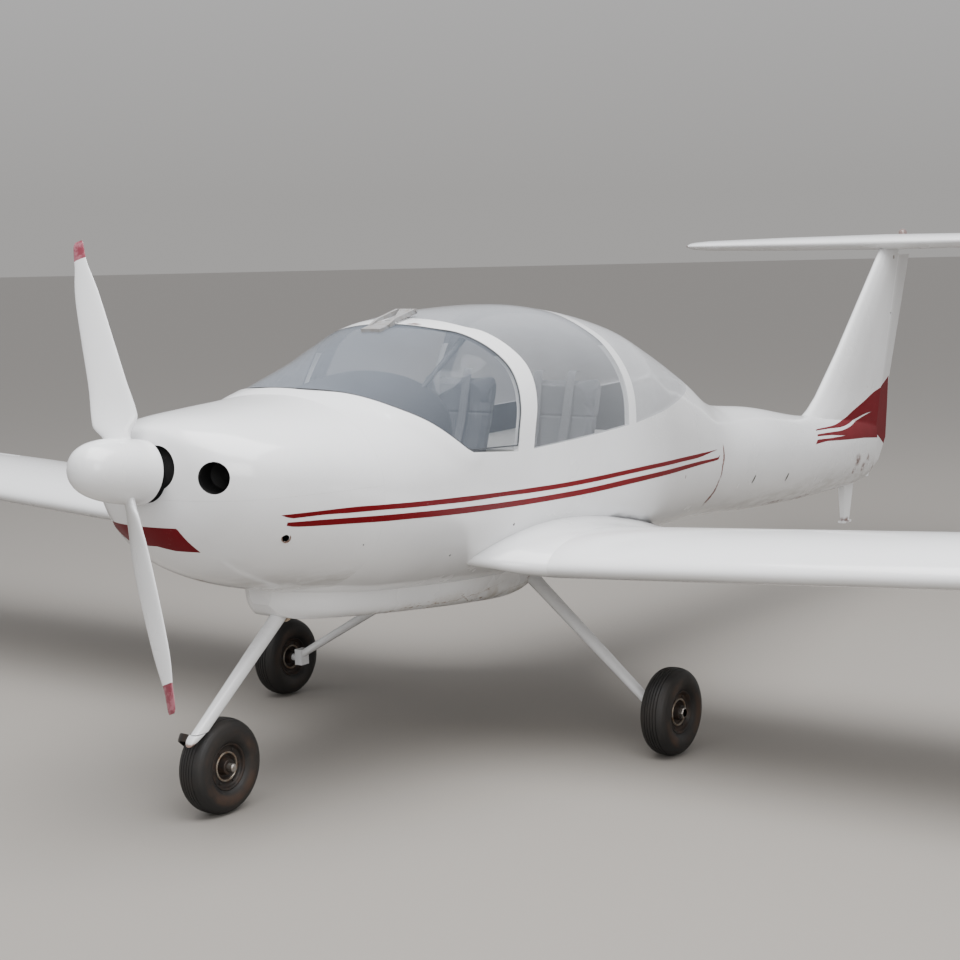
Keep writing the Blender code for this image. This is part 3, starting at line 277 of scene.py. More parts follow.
def through(rows, column, where):
    """Monotone cubic through one column of a table, read at where: its slope at each row is the
    harmonic mean of the slopes beside it, so the curve never swings past the rows."""
    rows = np.asarray(rows, float)
    x, y = rows[:, 0], rows[:, column]
    where = np.clip(where, x[0], x[-1])
    slope = np.diff(y) / np.diff(x)
    product = slope[:-1] * slope[1:]
    total = np.where(product > 0, slope[:-1] + slope[1:], 1.0)
    tangent = np.concatenate([slope[:1], np.where(product > 0, 2 * product / total, 0.0), slope[-1:]])
    k = np.clip(np.searchsorted(x, where, side="right") - 1, 0, len(x) - 2)
    span = x[k + 1] - x[k]
    t = (where - x[k]) / span
    return ((2 * t ** 3 - 3 * t ** 2 + 1) * y[k] + (t ** 3 - 2 * t ** 2 + t) * span * tangent[k]
            + (3 * t ** 2 - 2 * t ** 3) * y[k + 1] + (t ** 3 - t ** 2) * span * tangent[k + 1])


def straight(rows, column, where):
    """Straight lines through one column of a table."""
    rows = np.asarray(rows, float)
    return np.interp(where, rows[:, 0], rows[:, column])


def curve_through(points, count=14):
    """Catmull-Rom curve through points: each span bends by its neighbours' chord."""
    p = np.asarray(points, float)
    p = np.vstack([2 * p[0] - p[1], p, 2 * p[-1] - p[-2]])
    t = np.linspace(0, 1, count, endpoint=False)[:, None]
    spans = []
    for a, b, c, d in zip(p[:-3], p[1:-2], p[2:-1], p[3:]):
        spans.append(0.5 * (2 * b + (c - a) * t + (2 * a - 5 * b + 4 * c - d) * t ** 2
                            + (3 * b - a - 3 * c + d) * t ** 3))
    return np.vstack(spans + [p[-2:-1]])


print("tools ready")

# %% [markdown]
# ## Finishes
#
# A finish is a small tree of shader nodes that reads each point's own place on the aircraft.
# The paint is white gelcoat: nearly even, a little wavy, glossy, darker grey-brown in streaks towards
# the bottom, with brown marks where the photograph shows scrapes, and fine dust. The other finishes
# are built from the same few helpers.

# %% Helpers for finishes
def finish_of(name, colour, roughness, **sockets):
    """A material with one Principled shader; sockets are named with _ for a space."""
    made = bpy.data.materials.new(name)
    made.use_nodes = True
    shader = made.node_tree.nodes["Principled BSDF"]
    shader.inputs["Base Color"].default_value = (*colour, 1.0)
    shader.inputs["Roughness"].default_value = roughness
    for key, value in sockets.items():
        shader.inputs[key.replace("_", " ")].default_value = value
    return made


def add_node(made, kind, inputs=(), **settings):
    """A shader node with its settings, and its inputs given as values or as other nodes' outputs."""
    node = made.node_tree.nodes.new("ShaderNode" + kind)
    for key, value in settings.items():
        setattr(node, key, value)
    for key, value in dict(inputs).items():
        if isinstance(value, bpy.types.NodeSocket):
            made.node_tree.links.new(value, node.inputs[key])
        else:
            node.inputs[key].default_value = value
    return node


def own_place(made):
    """Object coordinates: a point's place on the aircraft, in metres."""
    return add_node(made, "TexCoord").outputs["Object"]


def noise(made, scale, detail=3.0, rough=0.55, where=None, stretch=None):
    """Soft random field; stretch squeezes it along an axis to make streaks."""
    where = where or own_place(made)
    if stretch:
        where = add_node(made, "Mapping", {"Vector": where, "Scale": stretch}).outputs[0]
    return add_node(made, "TexNoise", {"Vector": where, "Scale": scale, "Detail": detail,
                                       "Roughness": rough}).outputs["Fac"]


def steps_of(made, value, low, high, low_out=0.0, high_out=1.0):
    """Turn a value into a mask that rises smoothly from low to high."""
    return add_node(made, "MapRange", {"Value": value, "From Min": low, "From Max": high, "To Min": low_out,
                                       "To Max": high_out}, interpolation_type="SMOOTHSTEP").outputs["Result"]


def calculate(made, operation, *values):
    """One Math node: an operation on values or sockets."""
    return add_node(made, "Math", dict(enumerate(values)), operation=operation).outputs[0]


def times(made, *values):
    """Product of values."""
    result = values[0]
    for value in values[1:]:
        result = calculate(made, "MULTIPLY", result, value)
    return result


def most(made, values):
    """Largest of values."""
    result = values[0]
    for value in values[1:]:
        result = calculate(made, "MAXIMUM", result, value)
    return result


def axis_of(made, where, axis):
    """One coordinate of a place: 0 across, 1 along or 2 up."""
    return add_node(made, "SeparateXYZ", {0: where}).outputs[axis]


def colour_of(made):
    """The socket that feeds a finish's colour, to be tinted further."""
    return made.node_tree.nodes["Principled BSDF"].inputs["Base Color"].links[0].from_socket


def tint(made, mask, below, above):
    """Mix two colours, or a colour and a socket, by a mask."""
    node = add_node(made, "Mix", {"Factor": mask}, data_type="RGBA")
    for socket, value in ((node.inputs[6], below), (node.inputs[7], above)):
        if isinstance(value, bpy.types.NodeSocket):
            made.node_tree.links.new(value, socket)
        else:
            socket.default_value = (*value, 1.0)
    return node.outputs[2]


def spot(made, where, centre, size):
    """Mask of a soft ellipsoid: the distance from centre, each axis measured in its own size."""
    place = add_node(made, "Mapping", {"Vector": where, "Location": [-c / s for c, s in zip(centre, size)],
                                       "Scale": [1 / s for s in size]}).outputs[0]
    length = add_node(made, "VectorMath", {0: place}, operation="LENGTH").outputs["Value"]
    return steps_of(made, length, 1.0, 0.35)


def connect(made, **sockets):
    """Join outputs to the shader's sockets, named with _ for a space."""
    shader = made.node_tree.nodes["Principled BSDF"]
    for key, value in sockets.items():
        made.node_tree.links.new(value, shader.inputs[key.replace("_", " ")])


def bump(made, height, distance, strength=1.0):
    """Small relief from a height field; distance is its depth in metres."""
    normal = add_node(made, "Bump", {"Height": height, "Distance": distance, "Strength": strength})
    connect(made, Normal=normal.outputs[0])


print("finish helpers ready")

# %% Gelcoat, with its wear
RUST = (0.105, 0.030, 0.016)
# Grey-brown of the fine dust and of the darker streaks towards the bottom.
GREY_BROWN = (0.235, 0.205, 0.165)
WHITE = (0.800, 0.805, 0.815)


def gelcoat(name, marks=(), darker_low=()):
    """White gelcoat. Marks are the rows of a table of scrapes: x, station, height and the half size
    along each axis. Given two heights as the last argument, the paint turns darker grey-brown in
    streaks below the first, most of all at the second."""
    made = finish_of(name, WHITE, 0.24, Coat_Weight=0.55, Coat_Roughness=0.05, IOR=1.5)
    where = own_place(made)
    cloud = noise(made, 1.7, 4.0, 0.6, where)
    colour = tint(made, steps_of(made, cloud, 0.35, 0.75), WHITE, (0.745, 0.750, 0.755))
    fine = steps_of(made, noise(made, 160.0, 2.0, 0.7, where), 0.62, 0.78)
    dust = times(made, fine, steps_of(made, noise(made, 6.0, 3.0, 0.6, where), 0.45, 0.8))
    colour = tint(made, times(made, dust, 0.35), colour, GREY_BROWN)
    # Darker grey-brown streaks towards the bottom of the piece, between the two given heights.
    if darker_low:
        streak = noise(made, 3.0, 4.0, 0.65, where, (0.25, 1.6, 7.0))
        low = steps_of(made, axis_of(made, where, 2), *darker_low)
        mask = times(made, low, steps_of(made, streak, 0.35, 0.70), 0.55)
        colour = tint(made, mask, colour, GREY_BROWN)
    if marks:
        broken = steps_of(made, noise(made, 30.0, 4.0, 0.75, where), 0.38, 0.54)
        spots = [spot(made, where, (x, at(s), z), size) for x, s, z, *size in marks]
        mask = times(made, most(made, spots), broken)
        colour = tint(made, times(made, mask, 0.9), colour, RUST)
    connect(made, Base_Color=colour, Roughness=steps_of(made, cloud, 0.3, 0.8, 0.20, 0.32))
    bump(made, noise(made, 5.0, 2.0, 0.5, where), 0.0012, 0.35)
    return made


BODY_MARKS = [(0.319, 3.979, 1.011, 0.05, 0.014, 0.060), (0.312, 3.945, 0.930, 0.05, 0.015, 0.055),
              (0.300, 3.915, 0.850, 0.05, 0.018, 0.055), (0.270, 3.880, 0.780, 0.07, 0.030, 0.045),
              (0.087, 4.955, 0.622, 0.12, 0.200, 0.024), (0.060, 5.350, 0.610, 0.10, 0.150, 0.022),
              (0.121, 6.057, 0.752, 0.05, 0.070, 0.050), (0.110, 6.190, 0.690, 0.06, 0.055, 0.050),
              (0.110, 6.020, 0.690, 0.05, 0.040, 0.030), (0.095, 6.260, 0.730, 0.05, 0.040, 0.050),
              (-0.087, 4.700, 0.625, 0.08, 0.120, 0.016), (0.430, 3.398, 0.961, 0.03, 0.010, 0.012),
              (0.120, 1.716, 1.750, 0.050, 0.018, 0.020)]
TAIL_MARKS = [(0.010, 6.515, 0.655, 0.05, 0.060, 0.040), (0.013, 6.470, 0.640, 0.05, 0.030, 0.028),
              (-1.385, 6.70, 2.045, 0.045, 0.10, 0.05), (1.385, 6.70, 2.045, 0.045, 0.10, 0.05)]
paint_body = gelcoat("body_gelcoat", BODY_MARKS, (0.80, 0.60))
paint_nose = gelcoat("nose_gelcoat", [(-0.02, 0.60, 0.87, 0.03, 0.12, 0.02)], (0.95, 0.80))
paint_wing = gelcoat("wing_gelcoat")
paint_tail = gelcoat("tail_gelcoat", TAIL_MARKS)
paint_leg = gelcoat("leg_gelcoat")
paint_skid = gelcoat("skid_gelcoat", [(0.0, 6.13, 0.370, 0.05, 0.06, 0.030)])
print("paints:", len(bpy.data.materials))


def red_film(name, colour, faded):
    """Red marking film, worn paler in soft patches."""
    made = finish_of(name, colour, 0.42, Coat_Weight=0.03, Coat_Roughness=0.10, Specular_IOR_Level=0.12)
    patch = noise(made, 9.0, 5.0, 0.7)
    speck = steps_of(made, noise(made, 90.0, 3.0, 0.7), 0.66, 0.74)
    mix = tint(made, times(made, steps_of(made, patch, 0.40, 0.75), 0.55), colour, faded)
    connect(made, Base_Color=tint(made, times(made, speck, 0.15), mix, (0.55, 0.50, 0.48)))
    return made


red_stripe = red_film("red_stripe_film", (0.135, 0.0010, 0.0040), (0.160, 0.003, 0.008))
red_tail = red_film("red_tail_film", (0.130, 0.0015, 0.0060), (0.160, 0.005, 0.012))


def glazing(name, colour, alpha, haze, edge):
    """Acrylic glazing: mostly see-through with a clear reflection, fine dust where haze is high,
    and denser towards a grazing view, as a thick tinted sheet is."""
    made = finish_of(name, colour, 0.06, IOR=1.5, Alpha=alpha)
    where = own_place(made)
    film = steps_of(made, noise(made, 2.2, 4.0, 0.6, where), 0.35, 0.8, alpha, alpha + haze)
    scratch = steps_of(made, noise(made, 34.0, 3.0, 0.8, where, (1.0, 0.15, 1.0)), 0.70, 0.76, 0.0, 0.04)
    slant = add_node(made, "LayerWeight", {"Blend": 0.5}).outputs["Facing"]
    slant = calculate(made, "POWER", slant, 2.5)
    connect(made, Alpha=calculate(made, "MULTIPLY_ADD", slant, edge, calculate(made, "ADD", film, scratch)))
    return made


screen_glass = glazing("screen_acrylic", (0.225, 0.255, 0.300), 0.115, 0.06, 0.42)
side_glass = glazing("side_acrylic", (0.44, 0.46, 0.49), 0.045, 0.04, 0.62)
rear_glass = glazing("rear_acrylic", (0.62, 0.63, 0.65), 0.40, 0.16, 0.35)


def mottled(name, colour, other, roughness, scale, depth, metallic=0.0, **sockets):
    """Plain finish broken up by two sizes of mottle and a fine grain in relief."""
    made = finish_of(name, colour, roughness, Metallic=metallic, **sockets)
    where = own_place(made)
    wide = steps_of(made, noise(made, scale, 4.0, 0.6, where), 0.35, 0.72)
    connect(made, Base_Color=tint(made, wide, colour, other),
            Roughness=steps_of(made, wide, 0.0, 1.0, roughness, min(1.0, roughness + 0.12)))
    bump(made, noise(made, scale * 14, 3.0, 0.7, where), depth, 0.6)
    return made


seal_rubber = mottled("seal_rubber", (0.020, 0.021, 0.023), (0.045, 0.046, 0.048), 0.55, 20.0, 0.0002)
rim_metal = mottled("rim_metal", (0.016, 0.014, 0.013), (0.042, 0.024, 0.015), 0.50, 28.0, 0.0004, 0.3)
hub_metal = mottled("hub_metal", (0.30, 0.27, 0.23), (0.20, 0.125, 0.075), 0.42, 30.0, 0.0003, 0.8)
steel_worn = mottled("steel_worn", (0.34, 0.33, 0.31), (0.19, 0.12, 0.08), 0.38, 40.0, 0.0003, 0.85)
dark_steel = mottled("dark_steel", (0.022, 0.021, 0.020), (0.050, 0.034, 0.026), 0.50, 30.0, 0.0003, 0.4)
engine_black = mottled("engine_black", (0.010, 0.010, 0.011), (0.022, 0.021, 0.020), 0.60, 16.0, 0.0008)
trim_dark = mottled("trim_dark", (0.030, 0.032, 0.036), (0.055, 0.057, 0.062), 0.60, 30.0, 0.0004)
trim_grey = mottled("trim_grey", (0.165, 0.170, 0.180), (0.120, 0.124, 0.132), 0.70, 24.0, 0.0005)
liner_pale = mottled("liner_pale", (0.50, 0.50, 0.49), (0.42, 0.42, 0.41), 0.85, 40.0, 0.0008)
red_lamp = finish_of("beacon_lens", (0.185, 0.130, 0.120), 0.25, Coat_Weight=0.5)
print("finishes:", len(bpy.data.materials))

# %% [markdown]
# ## The body
#
# Every body section is two superellipses: an upper and a lower curve that share one widest
# line. A table gives the section's numbers at some stations, and a monotone cubic gives them
# in between. The same form makes the outer skin, the inner wall and the windows, so all of
# them lie exactly in each other's line. The skin is cut by the window outlines seen from the
# side, as a moulded shell is trimmed with a template.

# %% The body's form
# Columns: station, bottom, top, half width, height of the widest line, power above it, power below it.
BODY = [
    (0.318, 1.180, 1.405, 0.116, 1.295, 2.0, 2.0), (0.340, 1.095, 1.446, 0.215, 1.285, 2.1, 2.0),
    (0.390, 1.010, 1.466, 0.315, 1.275, 2.2, 2.0), (0.500, 0.915, 1.484, 0.405, 1.255, 2.3, 2.1),
    (0.700, 0.835, 1.498, 0.475, 1.220, 2.3, 2.1), (0.980, 0.770, 1.520, 0.535, 1.170, 2.25, 2.2),
    (1.080, 0.752, 1.548, 0.548, 1.160, 2.15, 2.25), (1.200, 0.730, 1.593, 0.560, 1.160, 2.05, 2.3),
    (1.400, 0.705, 1.662, 0.575, 1.180, 2.0, 2.35), (1.600, 0.685, 1.728, 0.587, 1.220, 2.15, 2.4),
    (1.800, 0.668, 1.772, 0.592, 1.260, 2.5, 2.5), (2.100, 0.652, 1.801, 0.590, 1.260, 2.6, 2.5),
    (2.350, 0.644, 1.808, 0.580, 1.240, 2.55, 2.5), (2.600, 0.640, 1.785, 0.560, 1.210, 2.5, 2.4),
    (3.050, 0.645, 1.706, 0.500, 1.130, 2.35, 2.3), (3.400, 0.655, 1.600, 0.430, 1.050, 2.2, 2.2),
    (3.800, 0.660, 1.445, 0.355, 0.980, 2.05, 2.1), (4.120, 0.650, 1.283, 0.300, 0.945, 2.0, 2.0),
    (4.350, 0.640, 1.215, 0.275, 0.925, 2.0, 2.0), (4.800, 0.610, 1.168, 0.235, 0.890, 2.0, 2.0),
    (5.550, 0.585, 1.055, 0.175, 0.825, 2.0, 2.0), (6.100, 0.583, 1.020, 0.120, 0.800, 2.0, 2.0),
    (6.500, 0.615, 0.980, 0.070, 0.795, 2.0, 2.0)]
FIREWALL = 0.980
WALL = 0.022
GLASS = 0.006
CANOPY_GAP = 0.008


def body_values(station):
    """The six numbers of the body's section at each station."""
    return [through(BODY, column, station) for column in range(1, 7)]


def body_grid(stations, count=120, inset=0.0):
    """Sections of the body: x = half cos|cos|^(2/p - 1), z = wide + reach sin|sin|^(2/p - 1),
    with the reach and power of the upper or the lower curve, drawn inward by inset."""
    station = np.asarray(stations, float)[:, None]
    bottom, top, half, wide, upper, lower = body_values(station)
    angle = round_angles(count, 0.5)
    across, rise = np.cos(angle)[None], np.sin(angle)[None]
    power = np.where(rise > 0, upper, lower)
    reach = np.where(rise > 0, top - inset - wide, wide - bottom - inset)
    inset = np.broadcast_to(inset, half.shape)
    x = (half - inset) * fuller(across, 2 / power)
    return np.stack([x, np.broadcast_to(at(station), x.shape), wide + reach * fuller(rise, 2 / power)], -1)


def body_side(station, height, inset=0.0):
    """Half width of the body at a station and height: the superellipse solved for x."""
    bottom, top, half, wide, upper, lower = body_values(station)
    reach = np.where(height > wide, top - inset - wide, wide - bottom - inset)
    power = np.where(height > wide, upper, lower)
    share = np.clip(np.abs(height - wide) / reach, 0, 1)
    return (half - inset) * (1 - share ** power) ** (1 / power)


def closer(start, end, step):
    """Evenly spaced stations from start to end."""
    return np.linspace(start, end, int(round((end - start) / step)) + 1)


print("body width at the seats:", round(float(2 * body_side(2.1, 1.26)), 3))

# %% Window outlines, seen from the side
SILL_CURVE = [(0.955, 1.700), (1.038, 1.536), (1.100, 1.522), (1.150, 1.497), (1.200, 1.467),
              (1.300, 1.409), (1.380, 1.346), (1.440, 1.297), (1.474, 1.277)]
ARCH_CURVE = [(1.756, 1.254), (1.774, 1.335), (1.803, 1.420), (1.822, 1.510), (1.822, 1.580), (1.800, 1.640),
              (1.755, 1.715), (1.690, 1.760), (1.600, 1.950)]
ARCH_WIDTH = 0.108
MIDDLE_SILL = [(1.864, 1.254), (2.290, 1.264), (2.670, 1.276)]
REAR_ARCH = [(2.670, 1.276), (2.695, 1.450), (2.660, 1.620), (2.580, 1.730), (2.480, 1.950)]
REAR_ARCH_WIDTH = 0.078
REAR_SILL = [(2.748, 1.278), (3.050, 1.296), (3.400, 1.322), (3.750, 1.360), (3.980, 1.420)]


def inward(outline, inset):
    """Move a closed outline inward: each point goes along the mean of its two edges' normals."""
    p = np.asarray(outline, float)
    before = p - np.roll(p, 1, 0)
    after = np.roll(p, -1, 0) - p
    before /= np.linalg.norm(before, axis=1)[:, None]
    after /= np.linalg.norm(after, axis=1)[:, None]
    turn = np.sign(np.sum(p[:, 0] * np.roll(p[:, 1], -1) - np.roll(p[:, 0], -1) * p[:, 1]))
    normal_a = np.column_stack([-before[:, 1], before[:, 0]]) * turn
    normal_b = np.column_stack([-after[:, 1], after[:, 0]]) * turn
    middle = normal_a + normal_b
    middle /= np.linalg.norm(middle, axis=1)[:, None]
    return p + middle * (inset / np.maximum(0.4, np.sum(middle * normal_a, 1)))[:, None]


def trimmed(outline, inset):
    """The outline moved inward, without the points that a tight corner pushes too near to it."""
    p = np.asarray(outline, float)
    inner = inward(p, inset)
    share = np.linspace(0, 1, 60, endpoint=False)[:, None, None]
    dense = (p + (np.roll(p, -1, 0) - p) * share).reshape(-1, 2)
    away = np.linalg.norm(inner[:, None] - dense[None], axis=2).min(1)
    return inner[away > inset * 0.97]


def aft_of(curve, shift):
    """The same curve, shift metres further aft."""
    return [(s + shift, z) for s, z in curve]


sill_line = np.vstack([SILL_CURVE[:1], curve_through(SILL_CURVE[1:])])
arch_line = curve_through(ARCH_CURVE)
rear_arch_line = curve_through(REAR_ARCH)
screen_outline = np.vstack([sill_line, arch_line])
front_edge = aft_of(arch_line, ARCH_WIDTH)[::-1]
middle_outline = np.vstack([curve_through(MIDDLE_SILL)[:-1], rear_arch_line, front_edge])
gaps = np.linalg.norm(middle_outline - np.roll(middle_outline, 1, 0), axis=1)
middle_outline = middle_outline[gaps > 1e-4]
front_edge = aft_of(rear_arch_line, REAR_ARCH_WIDTH)[:0:-1]
rear_outline = np.vstack([curve_through(REAR_SILL), [(4.060, 1.950)], front_edge])
print("outline points:", len(screen_outline), len(middle_outline), len(rear_outline))

# %% [markdown]
# ## A soft raised lip
#
# In front of the windscreen the shell rises a few millimetres over a hand's width, which shows
# as a faint line of shade along the sill. The skin's own points are pushed outward by an amount
# that depends on how far they are from the sill's curve.

# %% Push the skin out beside the sill
LIP_HEIGHT = 0.006
LIP_NEAR, LIP_FAR = 0.036, 0.070


def beside_sill(grid):
    """Distance of each point from the sill's curve in side view."""
    curve = np.column_stack([at(sill_line[1:, 0]), sill_line[1:, 1]])
    flat = grid[..., 1:].reshape(-1, 2)
    away = np.linalg.norm(flat[:, None] - curve[None], axis=2).min(1)
    return away.reshape(grid.shape[:2])


def with_lip(grid):
    """Raise the grid near the sill: full height within LIP_NEAR, fading to none at LIP_FAR."""
    t = np.clip((LIP_FAR - beside_sill(grid)) / (LIP_FAR - LIP_NEAR), 0, 1)
    rise = LIP_HEIGHT * t * t * (3 - 2 * t)
    middle = np.stack([0 * grid[..., 0], grid[..., 1], 0 * grid[..., 2] + 1.1], -1)
    out = grid - middle
    out /= np.linalg.norm(out, axis=2)[..., None] + 1e-9
    return grid + out * rise[..., None]


fuselage_stations = np.unique(np.round(np.concatenate([
    closer(FIREWALL, 2.9, 0.028), closer(2.9, 4.4, 0.05), closer(4.4, 6.5, 0.07)]), 5))
outer = with_lip(body_grid(fuselage_stations, 144))
outer[0] = body_grid([FIREWALL], 144)[0]
print("fuselage grid:", outer.shape[:2])

# %% [markdown]
# ## Wing roots, fin and cut-outs
#
# The wing stub is a wing section whose chord grows towards the body, so the wing seems to flow
# out of the hull. The fin is a row of level sections with a round nose. Both join the hull by
# a Boolean, and the cabin, the tail boom, the windows and the rudder's room are cut from it.

# %% Wing sections
# Columns: distance from the centre plane, leading edge station, its height, chord, thickness
# share, nose-up angle in degrees.
WING = [(0.720, 1.745, 0.800, 1.170, 0.150, 3.5), (1.600, 1.765, 0.846, 1.150, 0.150, 3.4),
        (3.000, 1.800, 0.920, 1.120, 0.148, 3.2), (5.300, 1.890, 1.045, 0.905, 0.141, 2.8),
        (7.750, 2.045, 1.182, 0.530, 0.128, 2.0), (8.020, 2.085, 1.197, 0.450, 0.115, 2.0),
        (8.120, 2.125, 1.203, 0.360, 0.095, 2.0), (8.165, 2.180, 1.206, 0.240, 0.060, 2.0)]
STUB = [(0.300, 1.560, 0.846, 1.700, 0.090, 3.0), (0.560, 1.640, 0.820, 1.430, 0.118, 3.2),
        (0.640, 1.702, 0.806, 1.258, 0.138, 3.4), (0.7197, 1.745, 0.800, 1.170, 0.150, 3.5)]
CAMBER = 0.040


def half_thickness(share):
    """Half thickness of the four-digit section for a thickness of 1: a root term and a cubic."""
    return 5 * (0.2969 * np.sqrt(share) - 0.1260 * share - 0.3516 * share ** 2 + 0.2843 * share ** 3
                - 0.1015 * share ** 4)


def camber_line(share, camber=CAMBER, peak=0.4):
    """Mean line: one parabola ahead of the peak and another behind it."""
    ahead = camber / peak ** 2 * (2 * peak * share - share ** 2)
    behind = camber / (1 - peak) ** 2 * (1 - 2 * peak + 2 * peak * share - share ** 2)
    return np.where(share < peak, ahead, behind)


def foil_loop(steps):
    """Shares of the chord round a section, from the trailing edge over the top and back, and the face."""
    share = (1 - np.cos(np.pi * np.arange(steps + 1) / steps)) / 2
    return np.concatenate([share[::-1], share[1:]]), np.concatenate([np.ones(steps + 1), -np.ones(steps)])


def on_section(front, height, chord, angle, share, lift):
    """Y and height of a point at a share of the chord, lifted off the chord line, with the section
    turned by its nose-up angle."""
    turn = np.radians(angle)
    aft = share * chord
    y = at(front + aft * np.cos(turn) + lift * np.sin(turn))
    return y, height + lift * np.cos(turn) - aft * np.sin(turn)


def wing_grid(across, rows, side, read, steps):
    """Wing sections at distances across: the camber line plus or minus the thickness."""
    across = np.asarray(across, float)[:, None]
    front, height, chord, thick, angle = (read(rows, k, across) for k in range(1, 6))
    share, face = foil_loop(steps)
    lift = (camber_line(share) + face * half_thickness(share) * thick) * chord
    y, z = on_section(front, height, chord, angle, share, lift)
    return np.stack([side * np.broadcast_to(across, y.shape), y, z], -1)


stub_spans = np.linspace(0.30, 0.7197, 16)
stubs = [skin("stub", wing_grid(stub_spans, STUB, side, through, 48)) for side, _ in SIDES]

# %% Fin and tail cut-outs
HINGE_LOW, HINGE_HIGH = (6.420, 0.640), (6.900, 1.985)
RUDDER_NOSE = 0.034
MOVING_GAP = 0.005
# Columns: height, front station, rear station, half width.
FIN = [(0.900, 5.300, 6.600, 0.070), (1.020, 5.480, 6.640, 0.068), (1.075, 5.620, 6.660, 0.064),
       (1.150, 5.735, 6.700, 0.058), (1.384, 6.010, 6.800, 0.050), (2.030, 6.700, 7.020, 0.036)]
# Columns: root of the share of the chord, share of the half width.
FIN_SHAPE = [(0.0, 0.0), (0.141, 0.35), (0.283, 0.62), (0.447, 0.88), (0.616, 1.0), (0.787, 0.95),
             (1.0, 0.72)]


def hinge_station(height):
    """Station of the rudder's slanted hinge line at a height."""
    share = (height - HINGE_LOW[1]) / (HINGE_HIGH[1] - HINGE_LOW[1])
    return HINGE_LOW[0] + (HINGE_HIGH[0] - HINGE_LOW[0]) * share


def fin_half(station, height):
    """Half thickness of the fin at a station and height, and 0 outside it."""
    front, rear, half = (straight(FIN, k, height) for k in (1, 2, 3))
    share = (station - front) / (rear - front)
    inside = (share >= 0) & (share <= 1) & (height >= FIN[0][0])
    return np.where(inside, half * through(FIN_SHAPE, 1, np.sqrt(np.clip(share, 0, 1))), 0.0)


def fin_grid(heights, steps=40):
    """Level fin sections, with the half width from a curve through FIN_SHAPE."""
    root = np.linspace(0, 1, steps)
    share = np.concatenate([root, root[:0:-1]]) ** 2
    side = np.concatenate([np.ones(steps), -np.ones(steps - 1)])
    height = np.asarray(heights, float)[:, None]
    front, rear, half = (straight(FIN, k, height) for k in (1, 2, 3))
    width = half * through(FIN_SHAPE, 1, np.sqrt(share)) * side
    y = at(front + (rear - front) * share)
    return np.stack([width, y, np.broadcast_to(height, y.shape)], -1)


STABILISER_HEIGHT = 2.045
# Columns: distance from the middle, front station, rear station, thickness.
STABILISER = [(0.000, 6.590, 7.280, 0.096), (0.700, 6.605, 7.240, 0.084), (1.245, 6.622, 7.195, 0.064),
              (1.345, 6.640, 7.170, 0.050), (1.385, 6.690, 7.130, 0.028)]


def tailplane_grid(across, grow=0.0, steps=30):
    """Symmetrical sections of the tailplane from tip to tip, thicker by grow on each face."""
    signed = np.asarray(across, float)[:, None]
    front, rear, thick = (straight(STABILISER, k, np.abs(signed)) for k in (1, 2, 3))
    share, face = foil_loop(steps)
    chord = rear - front
    up = face * half_thickness(share) * (thick + 2 * grow)
    y = at(front + share * chord)
    return np.stack([np.broadcast_to(signed, y.shape), y, STABILISER_HEIGHT + up], -1)


fin = skin("fin", fin_grid(np.concatenate([np.linspace(0.90, 1.15, 12), np.linspace(1.2, 2.03, 14)])))
ahead = RUDDER_NOSE + MOVING_GAP
rudder_room = prism([(hinge_station(0.45) - ahead, 0.45), (7.6, 0.45), (7.6, 2.3),
                     (hinge_station(2.3) - ahead, 2.3)], -0.4, 0.4)
TIP_PLACES = np.array([1.280, 1.310, 1.345, 1.365, 1.385])
tail_span = np.concatenate([-TIP_PLACES[::-1], np.linspace(-1.245, 1.245, 41), TIP_PLACES])
tail_seat = skin("tail_seat", tailplane_grid(tail_span, 0.0003))
print("fin sections ready")

# %% Cut the fuselage shell
cabin_space = skin("cabin_space", body_grid(closer(1.010, 4.080, 0.045), 120, WALL))
boom_space = skin("boom_space", body_grid(closer(3.950, 6.200, 0.09), 64, 0.012))
windows = [prism(outline, -0.8, 0.8) for outline in (screen_outline, middle_outline, rear_outline)]
small_holes = [turned_skin("hole", [(0, r), (0.05, r)], 20, (x + 0.02, at(s) - 0.01, z), (x - 0.03, at(s), z))
               for x, s, z, r in ((0.488, 1.438, 0.881, 0.0045), (0.546, 1.789, 0.958, 0.0060))]
fuselage = skin("fuselage_shell", outer, paint_body)
carve(fuselage, stubs + [fin], "UNION")
carve(fuselage, [cabin_space, boom_space] + windows + [rudder_room, tail_seat] + small_holes)
done(fuselage, "airframe", "white_gelcoat", "fuselage")
print("fuselage shell faces:", len(fuselage.data.polygons))

# %% [markdown]
# ## Cowling
#
# The nose is two thin half shells that meet along a level line and butt against the firewall.
# A round air inlet is cut on each side, with a dark duct behind it, and the open front shows
# the black plate behind the spinner.

# %% Cowling halves, inlets and small holes
COWL_SPLIT, COWL_WALL = 1.205, 0.010
NOSE_ROWS = 0.318 + (0.40 - 0.318) * np.linspace(0, 1, 12) ** 1.7
cowl_stations = np.concatenate([NOSE_ROWS, closer(0.415, 0.9797, 0.028)])


def inlet_line(side):
    """Start and end of an air inlet's middle line."""
    return Vector((side * 0.330, at(0.281), 1.290)), Vector((side * 0.205, at(0.498), 1.280))


